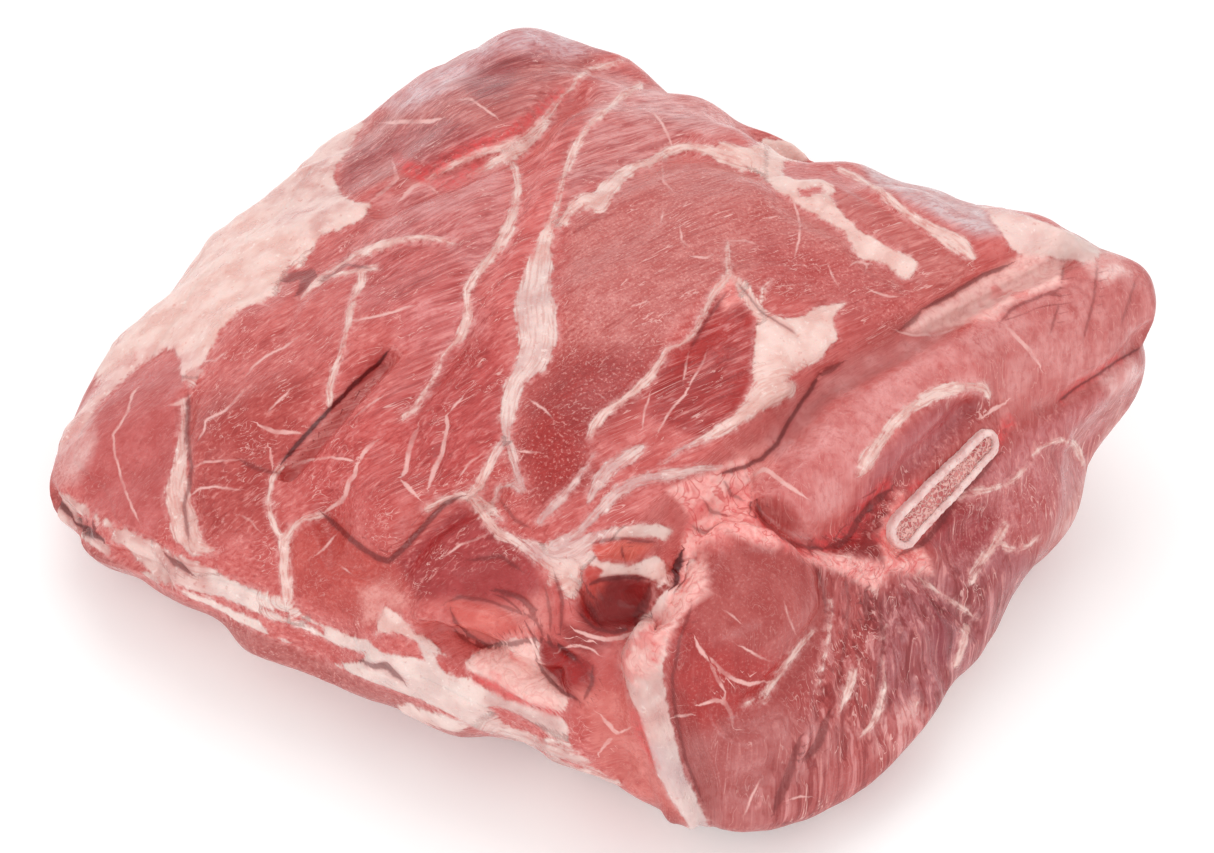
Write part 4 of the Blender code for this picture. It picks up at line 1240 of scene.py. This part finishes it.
def skin_cube():
    """Cube points of the whole skin: the top's grid, then rings down the sides."""
    steps = np.linspace(-1, 1, GRID + 1)
    v, u = np.meshgrid(steps, steps, indexing="ij")
    top = np.column_stack([u.ravel(), v.ravel(), np.ones(u.size)])
    edge = top_edge()
    rings = []
    around = top[edge]
    fat_top, fat_foot = seam_levels(around[:, 0], around[:, 1])
    stops = (np.ones_like(fat_top), fat_top, fat_foot, -np.ones_like(fat_top))
    for high, low, rows in zip(stops[:-1], stops[1:], (LEAN_ROWS, FAT_ROWS, LOWER_ROWS)):
        for row in range(1, rows + 1):
            ring = around.copy()
            ring[:, 2] = high + (low - high) * row / rows
            rings.append(ring)
    return np.vstack([top, *rings])


def top_edge():
    """Numbers of the grid points round the top's edge, anticlockwise from the left front corner."""
    side = GRID + 1
    along = np.arange(GRID)
    front = along
    right = along * side + GRID
    back = GRID * side + GRID - along
    left = (GRID - along) * side
    return np.concatenate([front, right, back, left])


def ring_numbers(row):
    """Numbers of the skin points on one ring: ring 0 is the top's edge."""
    if row == 0:
        return top_edge()
    count = 4 * GRID
    return (GRID + 1) ** 2 + (row - 1) * count + np.arange(count)


def band_faces(upper, lower):
    """Quads between two rings, one below or inside the other."""
    return np.column_stack([upper, lower, np.roll(lower, -1), np.roll(upper, -1)])


def top_faces():
    side = GRID + 1
    row, column = np.meshgrid(np.arange(GRID), np.arange(GRID), indexing="ij")
    first = (row * side + column).ravel()
    return np.column_stack([first, first + 1, first + side + 1, first + side])


def skin_faces():
    rows = LEAN_ROWS + FAT_ROWS + LOWER_ROWS
    bands = [band_faces(ring_numbers(row), ring_numbers(row + 1)) for row in range(rows)]
    return np.vstack([top_faces(), *bands])


def face_normals(points, faces):
    first = points[faces[:, 2]] - points[faces[:, 0]]
    second = points[faces[:, 3]] - points[faces[:, 1]]
    return np.cross(first, second)


def point_normals(points, faces):
    normals = np.zeros_like(points)
    each = face_normals(points, faces)
    for corner in range(4):
        np.add.at(normals, faces[:, corner], each)
    return normals / np.maximum(np.linalg.norm(normals, axis=1), 1e-12)[:, None]


def bone_frame():
    """The sawn face's middle as a matrix: X along the face, Y up it and Z out of it."""
    ends = [Vector(end) for end in BONE_ENDS]
    along = (ends[1] - ends[0]).normalized()
    outward = along.cross(Vector(BONE_RISE)).normalized()
    upward = outward.cross(along)
    middle = (ends[0] + ends[1]) / 2 - Vector((*PLAN_MIDDLE, 0))
    turn = Matrix((along, upward, outward)).transposed().to_4x4()
    return Matrix.Translation(middle) @ turn


def bone_straight():
    """Length of the bone's straight middle, between its round ends."""
    return (Vector(BONE_ENDS[1]) - Vector(BONE_ENDS[0])).length - BONE_THICKNESS


def seat_bone(points):
    """Flattens the meat round the bone, so that its sawn face stands clear of it."""
    to_bone = np.array(bone_frame().inverted())
    local = points @ to_bone[:3, :3].T + to_bone[:3, 3]
    beyond = np.maximum(np.abs(local[:, 0]) - bone_straight() / 2, 0)
    outside = np.hypot(beyond, local[:, 1]) - BONE_THICKNESS / 2
    share = 1 - smooth(outside, BONE_SEAT_RIM, BONE_SEAT_REACH)
    share *= np.abs(local[:, 2]) < BONE_SEAT_DEPTH
    outward = np.array(bone_frame())[:3, 2]
    return points + np.multiply.outer((BONE_SEAT - local[:, 2]) * share, outward)


def seen_share(cube, normals):
    """How much the drawn marks count at each point: 1 where the photograph shows it well."""
    x, y, z = cube.T
    _, _, back, _ = camera_axes()
    towards_camera = np.maximum(-y, x)
    seen = np.maximum(smooth(z, FACING_FROM, FACING_FULL), smooth(towards_camera, *SHOWN_SIDES))
    seen = np.where((x < -AT_EDGE) | (y > AT_EDGE), smooth(z, *SHOWN_HEIGHT), seen)
    seen = np.where(z < -AT_EDGE, smooth(towards_camera, *SHOWN_FOOT), seen)
    return seen * smooth(normals @ back, *TURNED_TO_CAMERA)


def hidden_fat(cube, normals, noise):
    """The made-up fat of the hidden sides, as its depth in millimetres, below 0 in the lean."""
    x, y, _ = cube.T
    marbling = HIDDEN_SEAM - HIDDEN_FALL * np.abs(noise["broad"] + HIDDEN_RAGGED * noise["middle"])
    left_side = smooth(-x, 0.9, 1.0) * smooth(y, -0.8, -0.2)
    hump = smooth(normals[:, 2], 0.0, 0.3) * smooth(y, 0.3, 0.6) * smooth(-x, 0.5, 0.8)
    return marbling + LEFT_COVER * left_side - HUMP_BARE * hump


def tissue_values(pixels, seen):
    """How much wrinkled tissue covers each point, how wrinkled it is there, and its colour."""
    tissue = np.zeros(len(pixels))
    wrinkle = np.zeros(len(pixels))
    colours = np.tile(linear(WRINKLES["knot"][1]), (len(pixels), 1))
    for name, (amount, colour) in WRINKLES.items():
        inside = inside_distance(pixels, WRINKLED_AREAS[name], TISSUE_SOFTNESS)
        share = smooth(inside, -TISSUE_SOFTNESS, TISSUE_SOFTNESS) * seen
        colours[share > tissue] = linear(colour)
        tissue = np.maximum(tissue, share)
        wrinkle = np.maximum(wrinkle, share * amount)
    return {"tissue": tissue, "wrinkle": wrinkle, "tissue_colour": colours}


def unevenness(noise, amounts):
    return sum(amount * noise[name] for name, amount in amounts.items())


def skin_relief(pixels, seen, noise, values):
    """How far each point of the skin is moved out, in millimetres."""
    fat = values["fat"]
    relief = unevenness(noise, LEAN_ROUGHNESS)
    relief += smooth(fat, -0.5, 1.0) * (FAT_PROUD + unevenness(noise, FAT_ROUGHNESS))
    relief += values["wrinkle"] * (TISSUE_PROUD + unevenness(noise, TISSUE_ROUGHNESS))
    relief -= FAT_GROOVE * bump(np.clip(fat + FAT_GROOVE_PLACE, -1, 1)) * seen
    for line, half_width, height in SMALL_FORMS.values():
        relief += height * drawn_sum(pixels, [(line, half_width, 1)], 1.0) * seen
    for line, half_width, _, depth in CREASES.values():
        shown_width = max(half_width * CREASE_SPREAD, CREASE_LEAST)
        relief -= CREASE_RELIEF * depth * drawn_sum(pixels, [(line, shown_width, 1)], 1.0) * seen
    relief -= VEIN_GROOVE * bump(values["vein"] / VEIN_GROOVE_WIDTH) * (values["vein_width"] > 0) * seen
    return relief


def make_skin():
    """Places and surface values of the whole skin."""
    cube = skin_cube()
    faces = skin_faces()
    points = form(cube)
    normals = point_normals(points, faces)
    pixels = to_pixels(points)
    seen = seen_share(cube, normals)
    noise = {name: lattice_noise(points, size) for name, size in NOISE_SIZES.items()}

    unseen_fat = hidden_fat(cube, normals, noise)
    seen_fat, across, along, breadth = fat_field(pixels)
    vein, vein_width, _ = mark_field(pixels, vein_marks())
    # Signed distance to the nearest crease, its half width, and how dark its painted shade is
    crease, crease_width, crease_shade = mark_field(pixels, [values[:3] for values in CREASES.values()])
    blushes = [(*values, 1) for values in BLUSHES.values()]
    values = {
        "fat": np.clip(unseen_fat + (seen_fat - unseen_fat) * seen, -6, 6),
        "across": across,
        "along": along,
        "breadth": np.where(seen > 0.5, breadth, FAT_MARGIN),
        "vein": vein,
        "vein_width": vein_width * seen,
        "crease": crease,
        "crease_width": crease_width * seen,
        "crease_shade": crease_shade,
        "blush": drawn_sum(pixels, blushes, BLUSH_SPREAD) * seen,
        "on_end": smooth(cube[:, 0], 0.8, 0.98),
        "grainy": area_share(pixels, GRAINY_AREAS, GRAIN_SOFTNESS) * seen,
        "fibrous": area_share(pixels, FIBROUS_AREAS, FIBROUS_SOFTNESS) * seen,
        "calm": area_share(pixels, CALM_AREAS, CALM_SOFTNESS) * seen,
        "lean_colour": tone_field(pixels, seen, BASE_LEAN, TONES, HIDDEN_LEAN, 1),
        "fat_colour": tone_field(pixels, seen, BASE_FAT, FAT_TONES, BASE_FAT, FAT_GAIN),
        **tissue_values(pixels, seen),
    }
    moved = seat_bone(points + normals * skin_relief(pixels, seen, noise, values)[:, None])
    moved[:, 2] = np.maximum(moved[:, 2], 0)
    return {"cube": cube, "points": moved, "faces": faces, "values": values}


def inner_rings(around, level):
    """Cube points of the rings that close a layer inside, and of its middle point."""
    rings = []
    for share in (*INNER_RINGS, 0):
        place = around[:, :2] * share if share else np.zeros((1, 2))
        rings.append(np.column_stack([place, level(place[:, 0], place[:, 1])]))
    return rings


def layer_mesh(name, skin, first_row, last_row, high, low):
    """One layer of the joint as a closed mesh: its part of the skin and its faces inside."""
    rows = [ring_numbers(row) for row in range(first_row, last_row + 1)]
    bands = [band_faces(upper, lower) for upper, lower in zip(rows[:-1], rows[1:])]
    quads = np.vstack(([top_faces()] if high is None else []) + bands)
    used = np.unique(quads)
    renumber = np.zeros(len(skin["points"]), int)
    renumber[used] = np.arange(len(used))
    quads = [renumber[quads]]
    triangles = []
    points = [skin["points"][used]]
    count = len(used)
    for edge, level, above in ((rows[0], high, True), (rows[-1], low, False)):
        if level is None:
            continue
        outer = renumber[edge]
        rings = inner_rings(skin["cube"][edge], level)
        for ring in rings[:-1]:
            numbers = count + np.arange(len(ring))
            quads.append(band_faces(numbers, outer) if above else band_faces(outer, numbers))
            points.append(form(ring))
            count += len(ring)
            outer = numbers
        points.append(form(rings[-1]))
        middle = np.full(len(outer), count)
        count += 1
        pair = (np.roll(outer, -1), outer) if above else (outer, np.roll(outer, -1))
        triangles.append(np.column_stack([middle, pair[1], pair[0]]))
    points = np.vstack(points) * MM
    mesh = bpy.data.meshes.new(name)
    faces = [row.tolist() for row in np.vstack(quads)]
    faces += [row.tolist() for group in triangles for row in group]
    mesh.from_pydata(points.tolist(), [], faces)
    mesh.shade_smooth()
    mesh.set_sharp_from_angle(angle=math.radians(MEAT_EDGE))
    for value_name, values in skin["values"].items():
        is_colour = values.ndim == 2
        filled = np.zeros((count, 4)) if is_colour else np.zeros(count)
        if is_colour:
            filled[:len(used), :3] = values[used]
            filled[:, 3] = 1
        else:
            filled[:len(used)] = values[used]
        kind, field = ("FLOAT_COLOR", "color") if is_colour else ("FLOAT", "value")
        mesh.attributes.new(value_name, kind, "POINT").data.foreach_set(field, filled.ravel())
    return mesh


class Shader:
    """Short calls for building one material's nodes."""

    def __init__(self, name):
        self.material = bpy.data.materials.new(name)
        self.material.use_nodes = True
        self.tree = self.material.node_tree
        self.principled = self.tree.nodes["Principled BSDF"]
        self.place = self.add("ShaderNodeTexCoord").outputs["Object"]

    def put(self, socket, value):
        if isinstance(value, bpy.types.NodeSocket):
            self.tree.links.new(value, socket)
        else:
            socket.default_value = value

    def add(self, kind, values=(), **settings):
        node = self.tree.nodes.new(kind)
        for name, value in settings.items():
            setattr(node, name, value)
        for place, value in dict(values).items():
            self.put(node.inputs[place], value)
        return node

    def attribute(self, name, output="Fac"):
        return self.add("ShaderNodeAttribute", attribute_name=name).outputs[output]

    def math(self, operation, first, second=0.0):
        return self.add("ShaderNodeMath", {0: first, 1: second}, operation=operation).outputs[0]

    def plus(self, first, second):
        return self.math("ADD", first, second)

    def minus(self, first, second):
        return self.math("SUBTRACT", first, second)

    def times(self, first, second):
        return self.math("MULTIPLY", first, second)

    def swing(self, pattern, amount):
        """A pattern with its middle moved to 0, times an amount."""
        return self.times(self.minus(pattern, 0.5), amount)

    def ridge(self, pattern):
        """How far a pattern is from its middle: 0 along thin lines."""
        return self.math("ABSOLUTE", self.minus(pattern, 0.5))

    def slope(self, value, low, high, low_to=0.0, high_to=1.0):
        """An even slope from low_to at low to high_to at high."""
        node = self.add("ShaderNodeMapRange", {0: value, 1: low, 2: high, 3: low_to, 4: high_to},
                        interpolation_type="SMOOTHSTEP")
        return node.outputs[0]

    def mix(self, share, first, second, blend="MIX"):
        node = self.add("ShaderNodeMix", data_type="RGBA", blend_type=blend, clamp_factor=True)
        self.put(node.inputs[0], share)
        self.put(node.inputs[6], first)
        self.put(node.inputs[7], second)
        return node.outputs[2]

    def tint(self, share, colour, name):
        """A colour mixed with one of COLOURS."""
        return self.mix(share, colour, screen_colour(name))

    def shade(self, share, colour, name):
        """A colour mixed with itself times one of the shades."""
        return self.mix(share, colour, self.mix(1.0, colour, screen_colour(name), "MULTIPLY"))

    def noise(self, place, name):
        scale, detail, roughness, distortion = NOISES[name]
        values = {"Vector": place, "Scale": scale, "Detail": detail, "Roughness": roughness,
                  "Distortion": distortion}
        return self.add("ShaderNodeTexNoise", values).outputs[0]

    def stretched(self, turn, stretch):
        """Places turned and then squeezed along X, for a pattern that runs along fibres."""
        turned = self.add("ShaderNodeMapping", {"Vector": self.place, "Rotation": turn}, vector_type="POINT")
        values = {0: turned.outputs[0], 1: stretch}
        return self.add("ShaderNodeVectorMath", values, operation="MULTIPLY").outputs[0]

    def finish(self, colour, roughness, height, bump, subsurface):
        """Sets the surface. The bump has a strength and a distance, the subsurface a weight and a radius."""
        strength, distance = bump
        bumped = self.add("ShaderNodeBump", {"Height": height, "Strength": strength, "Distance": distance})
        surface = self.principled.inputs
        self.put(surface["Base Color"], colour)
        self.put(surface["Roughness"], roughness)
        self.put(surface["Normal"], bumped.outputs[0])
        surface["Subsurface Weight"].default_value = subsurface[0]
        surface["Subsurface Radius"].default_value = subsurface[1]
        surface["Subsurface Scale"].default_value = SUBSURFACE_SCALE
        return self.material


class Flesh(Shader):
    """The shader of raw meat, with the patterns that its looks share."""

    def __init__(self, name):
        super().__init__(name)
        on_end = self.attribute("on_end")
        self.along_fibres = self.mix(on_end, self.stretched(*TOP_FIBRES), self.stretched(*END_FIBRES))
        self.fibre = self.noise(self.along_fibres, "fibre")
        self.blotch = self.noise(self.place, "blotch")
        self.mottle = self.noise(self.place, "mottle")
        along = self.times(self.attribute("along"), STRAND_ALONG)
        across = self.times(self.attribute("across"), STRAND_ACROSS)
        seam_place = self.add("ShaderNodeCombineXYZ", {0: along, 1: across})
        self.strand = self.noise(seam_place.outputs[0], "strand")
        self.calm = self.minus(1.0, self.attribute("calm"))
        self.wander = self.swing(self.mottle, 0.9)


def screen_colour(name):
    return (*[float(value) for value in linear(COLOURS[name])], 1.0)


def fat_share(shader, offset):
    """How deep the surface lies in the fat, whose edge is ragged, and how much of the fat shows."""
    edge = shader.plus(shader.swing(shader.blotch, 2.6), shader.swing(shader.mottle, 1.8))
    edge = shader.plus(edge, shader.swing(shader.strand, 1.2))
    edge = shader.times(edge, shader.slope(shader.attribute("breadth"), 0.4, 1.8, 0.45, 1.0))
    depth = shader.plus(shader.plus(shader.attribute("fat"), offset), edge)
    thin = shader.slope(depth, 0.3, 1.6, 1.0, 0.0)
    see_through = shader.times(thin, shader.slope(shader.strand, 0.60, 0.36, 0.0, 0.45))
    return depth, shader.times(shader.slope(depth, -0.45, 0.55), shader.minus(1.0, see_through))


def lean_look(shader, depth):
    """Lean meat: blotches, dark and pale fibres, cords, grain, streaks, and membrane beside the fat."""
    blotch, mottle, fibre, calm = shader.blotch, shader.mottle, shader.fibre, shader.calm
    grainy = shader.attribute("grainy")
    fibrous = shader.attribute("fibrous")
    lean = shader.attribute("lean_colour", "Color")
    dark = shader.mix(1.0, lean, screen_colour("dark_shade"), "MULTIPLY")
    lean = shader.mix(shader.slope(blotch, 0.38, 0.62, 0.0, 0.55), lean, dark)
    lean = shader.mix(shader.slope(mottle, 0.50, 0.34, 0.0, 0.35), lean, dark)
    lean = shader.mix(shader.times(shader.slope(fibre, 0.50, 0.36, 0.0, 0.55), calm), lean, dark)
    pale_fibre = shader.times(shader.slope(fibre, 0.54, 0.70, 0.0, 0.34), shader.slope(grainy, 0, 1, 1, 0.3))
    lean = shader.tint(shader.times(pale_fibre, calm), lean, "pale_fibre")

    cords = shader.noise(shader.along_fibres, "cord")
    dark_cord = shader.times(shader.slope(cords, 0.50, 0.38, 0.0, 0.75), fibrous)
    lean = shader.shade(dark_cord, lean, "cord_shade")
    lean = shader.tint(shader.times(shader.slope(cords, 0.56, 0.68, 0.0, 0.45), fibrous), lean, "pale_cord")
    speckle = shader.noise(shader.place, "speckle")
    lean = shader.tint(shader.times(shader.slope(speckle, 0.55, 0.68, 0.0, 0.4), grainy), lean, "speckle")
    lean = shader.mix(shader.times(shader.slope(speckle, 0.45, 0.33, 0.0, 0.6), grainy), lean, dark)

    streaks = shader.noise(shader.along_fibres, "streak")
    streak = shader.slope(shader.ridge(streaks), 0.018, 0.003)
    streak = shader.times(streak, shader.slope(blotch, 0.48, 0.60, 0.0, 0.6))
    lean = shader.tint(shader.times(streak, calm), lean, "streak")
    valley = shader.times(shader.slope(streaks, 0.40, 0.30, 0.0, 0.4), calm)
    lean = shader.shade(valley, lean, "valley_shade")
    membrane = shader.times(shader.slope(depth, -1.8, 0.1), shader.slope(mottle, 0.40, 0.64, 0.05, 0.45))
    return shader.tint(membrane, lean, "membrane")


def vein_share(shader):
    """How much of the thin veins shows: they wander, and fade where there is no blotch."""
    width = shader.attribute("vein_width")
    distance = shader.math("ABSOLUTE", shader.plus(shader.attribute("vein"), shader.wander))
    vein = shader.slope(shader.minus(width, distance), -0.35, 0.2)
    vein = shader.times(vein, shader.slope(width, 0.03, 0.15))
    return shader.times(vein, shader.slope(shader.blotch, 0.36, 0.58, 0.3, 0.9))


def fat_look(shader):
    """Fat: cream with paler blotches, strands along its seams and white flecks."""
    cream = shader.attribute("fat_colour", "Color")
    deep = shader.mix(1.0, cream, screen_colour("cream_shade"), "MULTIPLY")
    cream = shader.tint(shader.slope(shader.blotch, 0.36, 0.64, 0.0, 0.5), cream, "pale_cream")
    cream = shader.mix(shader.slope(shader.strand, 0.54, 0.38, 0.0, 0.45), cream, deep)
    cream = shader.tint(shader.slope(shader.mottle, 0.58, 0.74, 0.0, 0.5), cream, "white_cream")
    return shader.mix(shader.slope(shader.mottle, 0.40, 0.26, 0.0, 0.7), cream, deep)


def tissue_look(shader, colour, fold_ridge, wrinkle):
    """Wrinkled tissue over a colour: pale flecks, red hollows, and red lines between its folds."""
    tissue = shader.attribute("tissue_colour", "Color")
    tissue = shader.tint(shader.slope(shader.mottle, 0.4, 0.7, 0.0, 0.6), tissue, "pale_tissue")
    tissue = shader.tint(shader.slope(shader.blotch, 0.46, 0.36, 0.0, 0.5), tissue, "red_tissue")
    red_line = shader.times(shader.slope(fold_ridge, 0.035, 0.0), shader.times(wrinkle, 0.7))
    tissue = shader.tint(red_line, tissue, "red_line")
    share = shader.times(shader.attribute("tissue"), shader.slope(shader.mottle, 0.28, 0.5, 0.7, 0.96))
    return shader.mix(share, colour, tissue)


def blood_and_painted_shade(shader, colour):
    """Blood over a colour, then painted shade beside the creases and in their insides."""
    blush = shader.times(shader.attribute("blush"), shader.slope(shader.mottle, 0.34, 0.66, 0.15, 0.85))
    colour = shader.tint(blush, colour, "blood")
    # Painted shade: a gloom beside each crease and a dark inside it
    width = shader.attribute("crease_width")
    distance = shader.math("ABSOLUTE", shader.plus(shader.attribute("crease"), shader.wander))
    inside = shader.minus(width, distance)
    crease_shade = shader.times(shader.slope(width, 0.05, 0.25), shader.attribute("crease_shade"))
    crease_shade_share = shader.times(shader.slope(inside, -1.2, 0.2, 0.0, 0.65), crease_shade)
    colour = shader.shade(crease_shade_share, colour, "painted_crease_shade")
    return shader.tint(shader.times(shader.slope(inside, -0.35, 0.25), crease_shade), colour, "crease")


def flesh_material(name, offset):
    """Raw meat: lean with fibres and marbling, streaky fat, membranes, blood, and painted shade in the
    creases.
    """
    shader = Flesh(name)
    depth, fat = fat_share(shader, offset)
    colour = shader.tint(vein_share(shader), lean_look(shader, depth), "vein")
    colour = shader.mix(fat, colour, fat_look(shader))
    wrinkle = shader.attribute("wrinkle")
    fold_ridge = shader.ridge(shader.noise(shader.place, "fold"))
    colour = tissue_look(shader, colour, fold_ridge, wrinkle)
    colour = blood_and_painted_shade(shader, colour)

    height = shader.plus(shader.times(shader.fibre, 0.5), shader.times(shader.mottle, 0.6))
    height = shader.plus(height, shader.times(shader.strand, shader.times(fat, 0.5)))
    height = shader.plus(height, shader.times(shader.times(fold_ridge, wrinkle), 5.0))
    roughness = shader.slope(shader.blotch, 0.35, 0.65, 0.26, 0.44)
    surface = shader.principled.inputs
    surface["Specular IOR Level"].default_value = 0.35
    surface["Coat Weight"].default_value = 0.14
    surface["Coat Roughness"].default_value = 0.18
    return shader.finish(colour, roughness, height, (0.8, 0.0007), (0.15, (1.0, 0.32, 0.24)))


def bone_material():
    """Sawn bone: pale and smooth, with pink pores and the scratches of the saw."""
    shader = Shader("bone")
    tone = shader.noise(shader.place, "bone")
    pores = shader.add("ShaderNodeTexVoronoi", {"Vector": shader.place, "Scale": 1100.0}).outputs["Distance"]
    pore = shader.slope(pores, 0.28, 0.12, 0.0, 0.5)
    tones = screen_colour("deep_bone"), screen_colour("pale_bone")
    colour = shader.mix(shader.slope(tone, 0.35, 0.65), *tones)
    colour = shader.tint(pore, colour, "bone_pore")
    scratches = shader.noise(shader.stretched(*SAW_MARKS), "scratch")
    height = shader.plus(shader.times(pore, -0.6), shader.times(scratches, 0.35))
    roughness = shader.slope(tone, 0.3, 0.7, 0.36, 0.52)
    return shader.finish(colour, roughness, height, (0.6, 0.0004), (0.2, (1.0, 0.5, 0.4)))


def marrow_material():
    """Red spongy marrow, with a pale net of bone in it."""
    shader = Shader("marrow")
    drift = shader.add("ShaderNodeTexNoise", {"Vector": shader.place, "Scale": 500.0}).outputs[1]
    warped = shader.mix(0.004, shader.place, drift)
    net = shader.add("ShaderNodeTexVoronoi", {"Vector": warped, "Scale": 620.0}, feature="DISTANCE_TO_EDGE")
    walls = shader.slope(net.outputs["Distance"], 0.05, 0.22, 1.0, 0.0)
    tone = shader.noise(shader.place, "marrow")
    reds = screen_colour("deep_marrow"), screen_colour("pale_marrow")
    colour = shader.mix(shader.slope(tone, 0.35, 0.65), *reds)
    colour = shader.tint(shader.times(walls, 0.75), colour, "marrow_net")
    roughness = shader.slope(tone, 0.3, 0.7, 0.30, 0.55)
    return shader.finish(colour, roughness, walls, (0.8, 0.0005), (0.2, (1.0, 0.3, 0.2)))


def bone_ring(margin, height, ragged):
    """A ring of points round the bone at a height over its sawn face, in the bone's own frame."""
    radius = BONE_THICKNESS / 2
    straight = bone_straight()
    quarter = math.pi * radius / 2
    corners = np.cumsum([0, quarter, straight, 2 * quarter, straight, quarter])
    turns = np.arange(BONE_SIDES) / BONE_SIDES
    angle = np.interp(turns * corners[-1], corners, BONE_TURNS) * math.tau
    middle = np.interp(turns * corners[-1], corners, BONE_PLACES) * straight
    share = BONE_FRONT_SHARE + (BONE_BACK_SHARE - BONE_FRONT_SHARE) * (middle / straight + 0.5)
    waves = sum(amount * np.sin(math.tau * count * turns + start) for count, start, amount in BONE_WAVES)
    grown = radius * share + margin + ragged * waves
    across = grown * np.cos(angle)
    up = grown * np.sin(angle)
    return np.column_stack([middle + across, up, np.full(BONE_SIDES, height)])


def loft_mesh(name, rings, closed_loop, material):
    """A closed mesh through rings: a loop of rings, or a run of them with a face over each end."""
    points = np.vstack(rings)
    numbers = [index * BONE_SIDES + np.arange(BONE_SIDES) for index in range(len(rings))]
    below = numbers[1:] + numbers[:1] if closed_loop else numbers[1:]
    pairs = list(zip(numbers, below))
    faces = [row for upper, lower in pairs for row in band_faces(upper, lower).tolist()]
    if not closed_loop:
        faces.append(numbers[0].tolist())
        faces.append(numbers[-1][::-1].tolist())
    mesh = bpy.data.meshes.new(name)
    place = np.array(bone_frame())
    mesh.from_pydata(((points @ place[:3, :3].T + place[:3, 3]) * MM).tolist(), [], faces)
    mesh.shade_smooth()
    mesh.set_sharp_from_angle(angle=math.radians(BONE_EDGE))
    mesh.materials.append(material)
    return mesh


def bone_mesh():
    rings = [bone_ring(out - BONE_WALL, BONE_PROUD + rise, ragged) for out, rise, ragged in WALL_RIM]
    rings += [bone_ring(out, BONE_PROUD + rise, ragged) for out, rise, ragged in BONE_RIM]
    rings.append(bone_ring(0, -BONE_LENGTH / 2, INSIDE_RAGGED))
    rings.append(bone_ring(0, -BONE_LENGTH, 0))
    rings.append(bone_ring(-BONE_WALL, -BONE_LENGTH, 0))
    rings.append(bone_ring(-BONE_WALL, -BONE_LENGTH / 2, INSIDE_RAGGED))
    return loft_mesh("sawn_bone", rings, True, bone_material())


def marrow_mesh():
    edge = -BONE_WALL - MARROW_GAP
    top = BONE_PROUD - MARROW_SUNK
    rings = [bone_ring(edge + out, top + rise, ragged) for out, rise, ragged in MARROW_RIM]
    rings.append(bone_ring(edge, -BONE_LENGTH / 2, INSIDE_RAGGED))
    rings.append(bone_ring(edge, -BONE_LENGTH, 0))
    return loft_mesh("marrow_core", rings, False, marrow_material())


def place_piece(mesh, node):
    piece = bpy.data.objects.new(mesh.name, mesh)
    bpy.context.scene.collection.objects.link(piece)
    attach(piece, "root")
    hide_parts(node)


def lean_foot(u, v):
    return seam_levels(u, v)[0]


def fat_foot(u, v):
    return seam_levels(u, v)[1]


def joint_foot(u, v):
    return -np.ones_like(u)


def build_joint():
    skin = make_skin()
    fat_row = LEAN_ROWS + FAT_ROWS
    last_row = fat_row + LOWER_ROWS
    lean = layer_mesh("marbled_lean", skin, 0, LEAN_ROWS, None, lean_foot)
    lean.materials.append(flesh_material("lean", 0.0))
    fat = layer_mesh("fat_band", skin, LEAN_ROWS, fat_row, lean_foot, fat_foot)
    fat.materials.append(flesh_material("fat", 0.3))
    lower = layer_mesh("lower_strip", skin, fat_row, last_row, fat_foot, joint_foot)
    lower.materials.append(flesh_material("lower_lean", 0.0))
    place_piece(lean, "shoulder_meat")
    place_piece(fat, "fat_cap")
    place_piece(lower, "lower_lean")
    place_piece(bone_mesh(), "blade_bone")
    place_piece(marrow_mesh(), "bone_marrow")


def add_camera():
    right, up, back, place = camera_axes()
    data = bpy.data.cameras.new("photo_camera")
    data.lens = LENS
    data.sensor_width = SENSOR
    data.clip_end = 20
    camera = bpy.data.objects.new("photo_camera", data)
    turn = Matrix((right, up, back)).transposed().to_4x4()
    camera.matrix_world = Matrix.Translation(place * MM) @ turn
    bpy.context.scene.collection.objects.link(camera)
    bpy.context.scene.camera = camera


def add_floor():
    half = TABLE_HALF
    mesh = bpy.data.meshes.new("table_top")
    corners = [(-half, -half, 0), (half, -half, 0), (half, half, 0), (-half, half, 0)]
    mesh.from_pydata(corners, [], [(0, 1, 2, 3)])
    material = bpy.data.materials.new("white_table")
    material.use_nodes = True
    surface = material.node_tree.nodes["Principled BSDF"].inputs
    surface["Base Color"].default_value = TABLE_COLOUR
    surface["Roughness"].default_value = 0.9
    surface["Emission Color"].default_value = (1, 1, 1, 1)
    surface["Emission Strength"].default_value = TABLE_GLOW
    mesh.materials.append(material)
    floor = bpy.data.objects.new("table_top", mesh)
    floor.location.z = -TABLE_DROP
    bpy.context.scene.collection.objects.link(floor)


def add_light(name, place, size, power):
    data = bpy.data.lights.new(name, "AREA")
    data.shape = "DISK"
    data.size = size
    data.energy = power
    light = bpy.data.objects.new(name, data)
    light.location = place
    light.rotation_euler = (-Vector(place)).to_track_quat("-Z", "Y").to_euler()
    bpy.context.scene.collection.objects.link(light)


def add_lights():
    world = bpy.data.worlds.new("studio")
    world.use_nodes = True
    background = world.node_tree.nodes["Background"]
    background.inputs[0].default_value = WORLD_COLOUR
    background.inputs[1].default_value = WORLD_POWER
    bpy.context.scene.world = world
    for name, values in LIGHTS.items():
        add_light(name, *values)
    bpy.context.scene.view_settings.view_transform = "Standard"


build_joint()
add_camera()
add_floor()
add_lights()
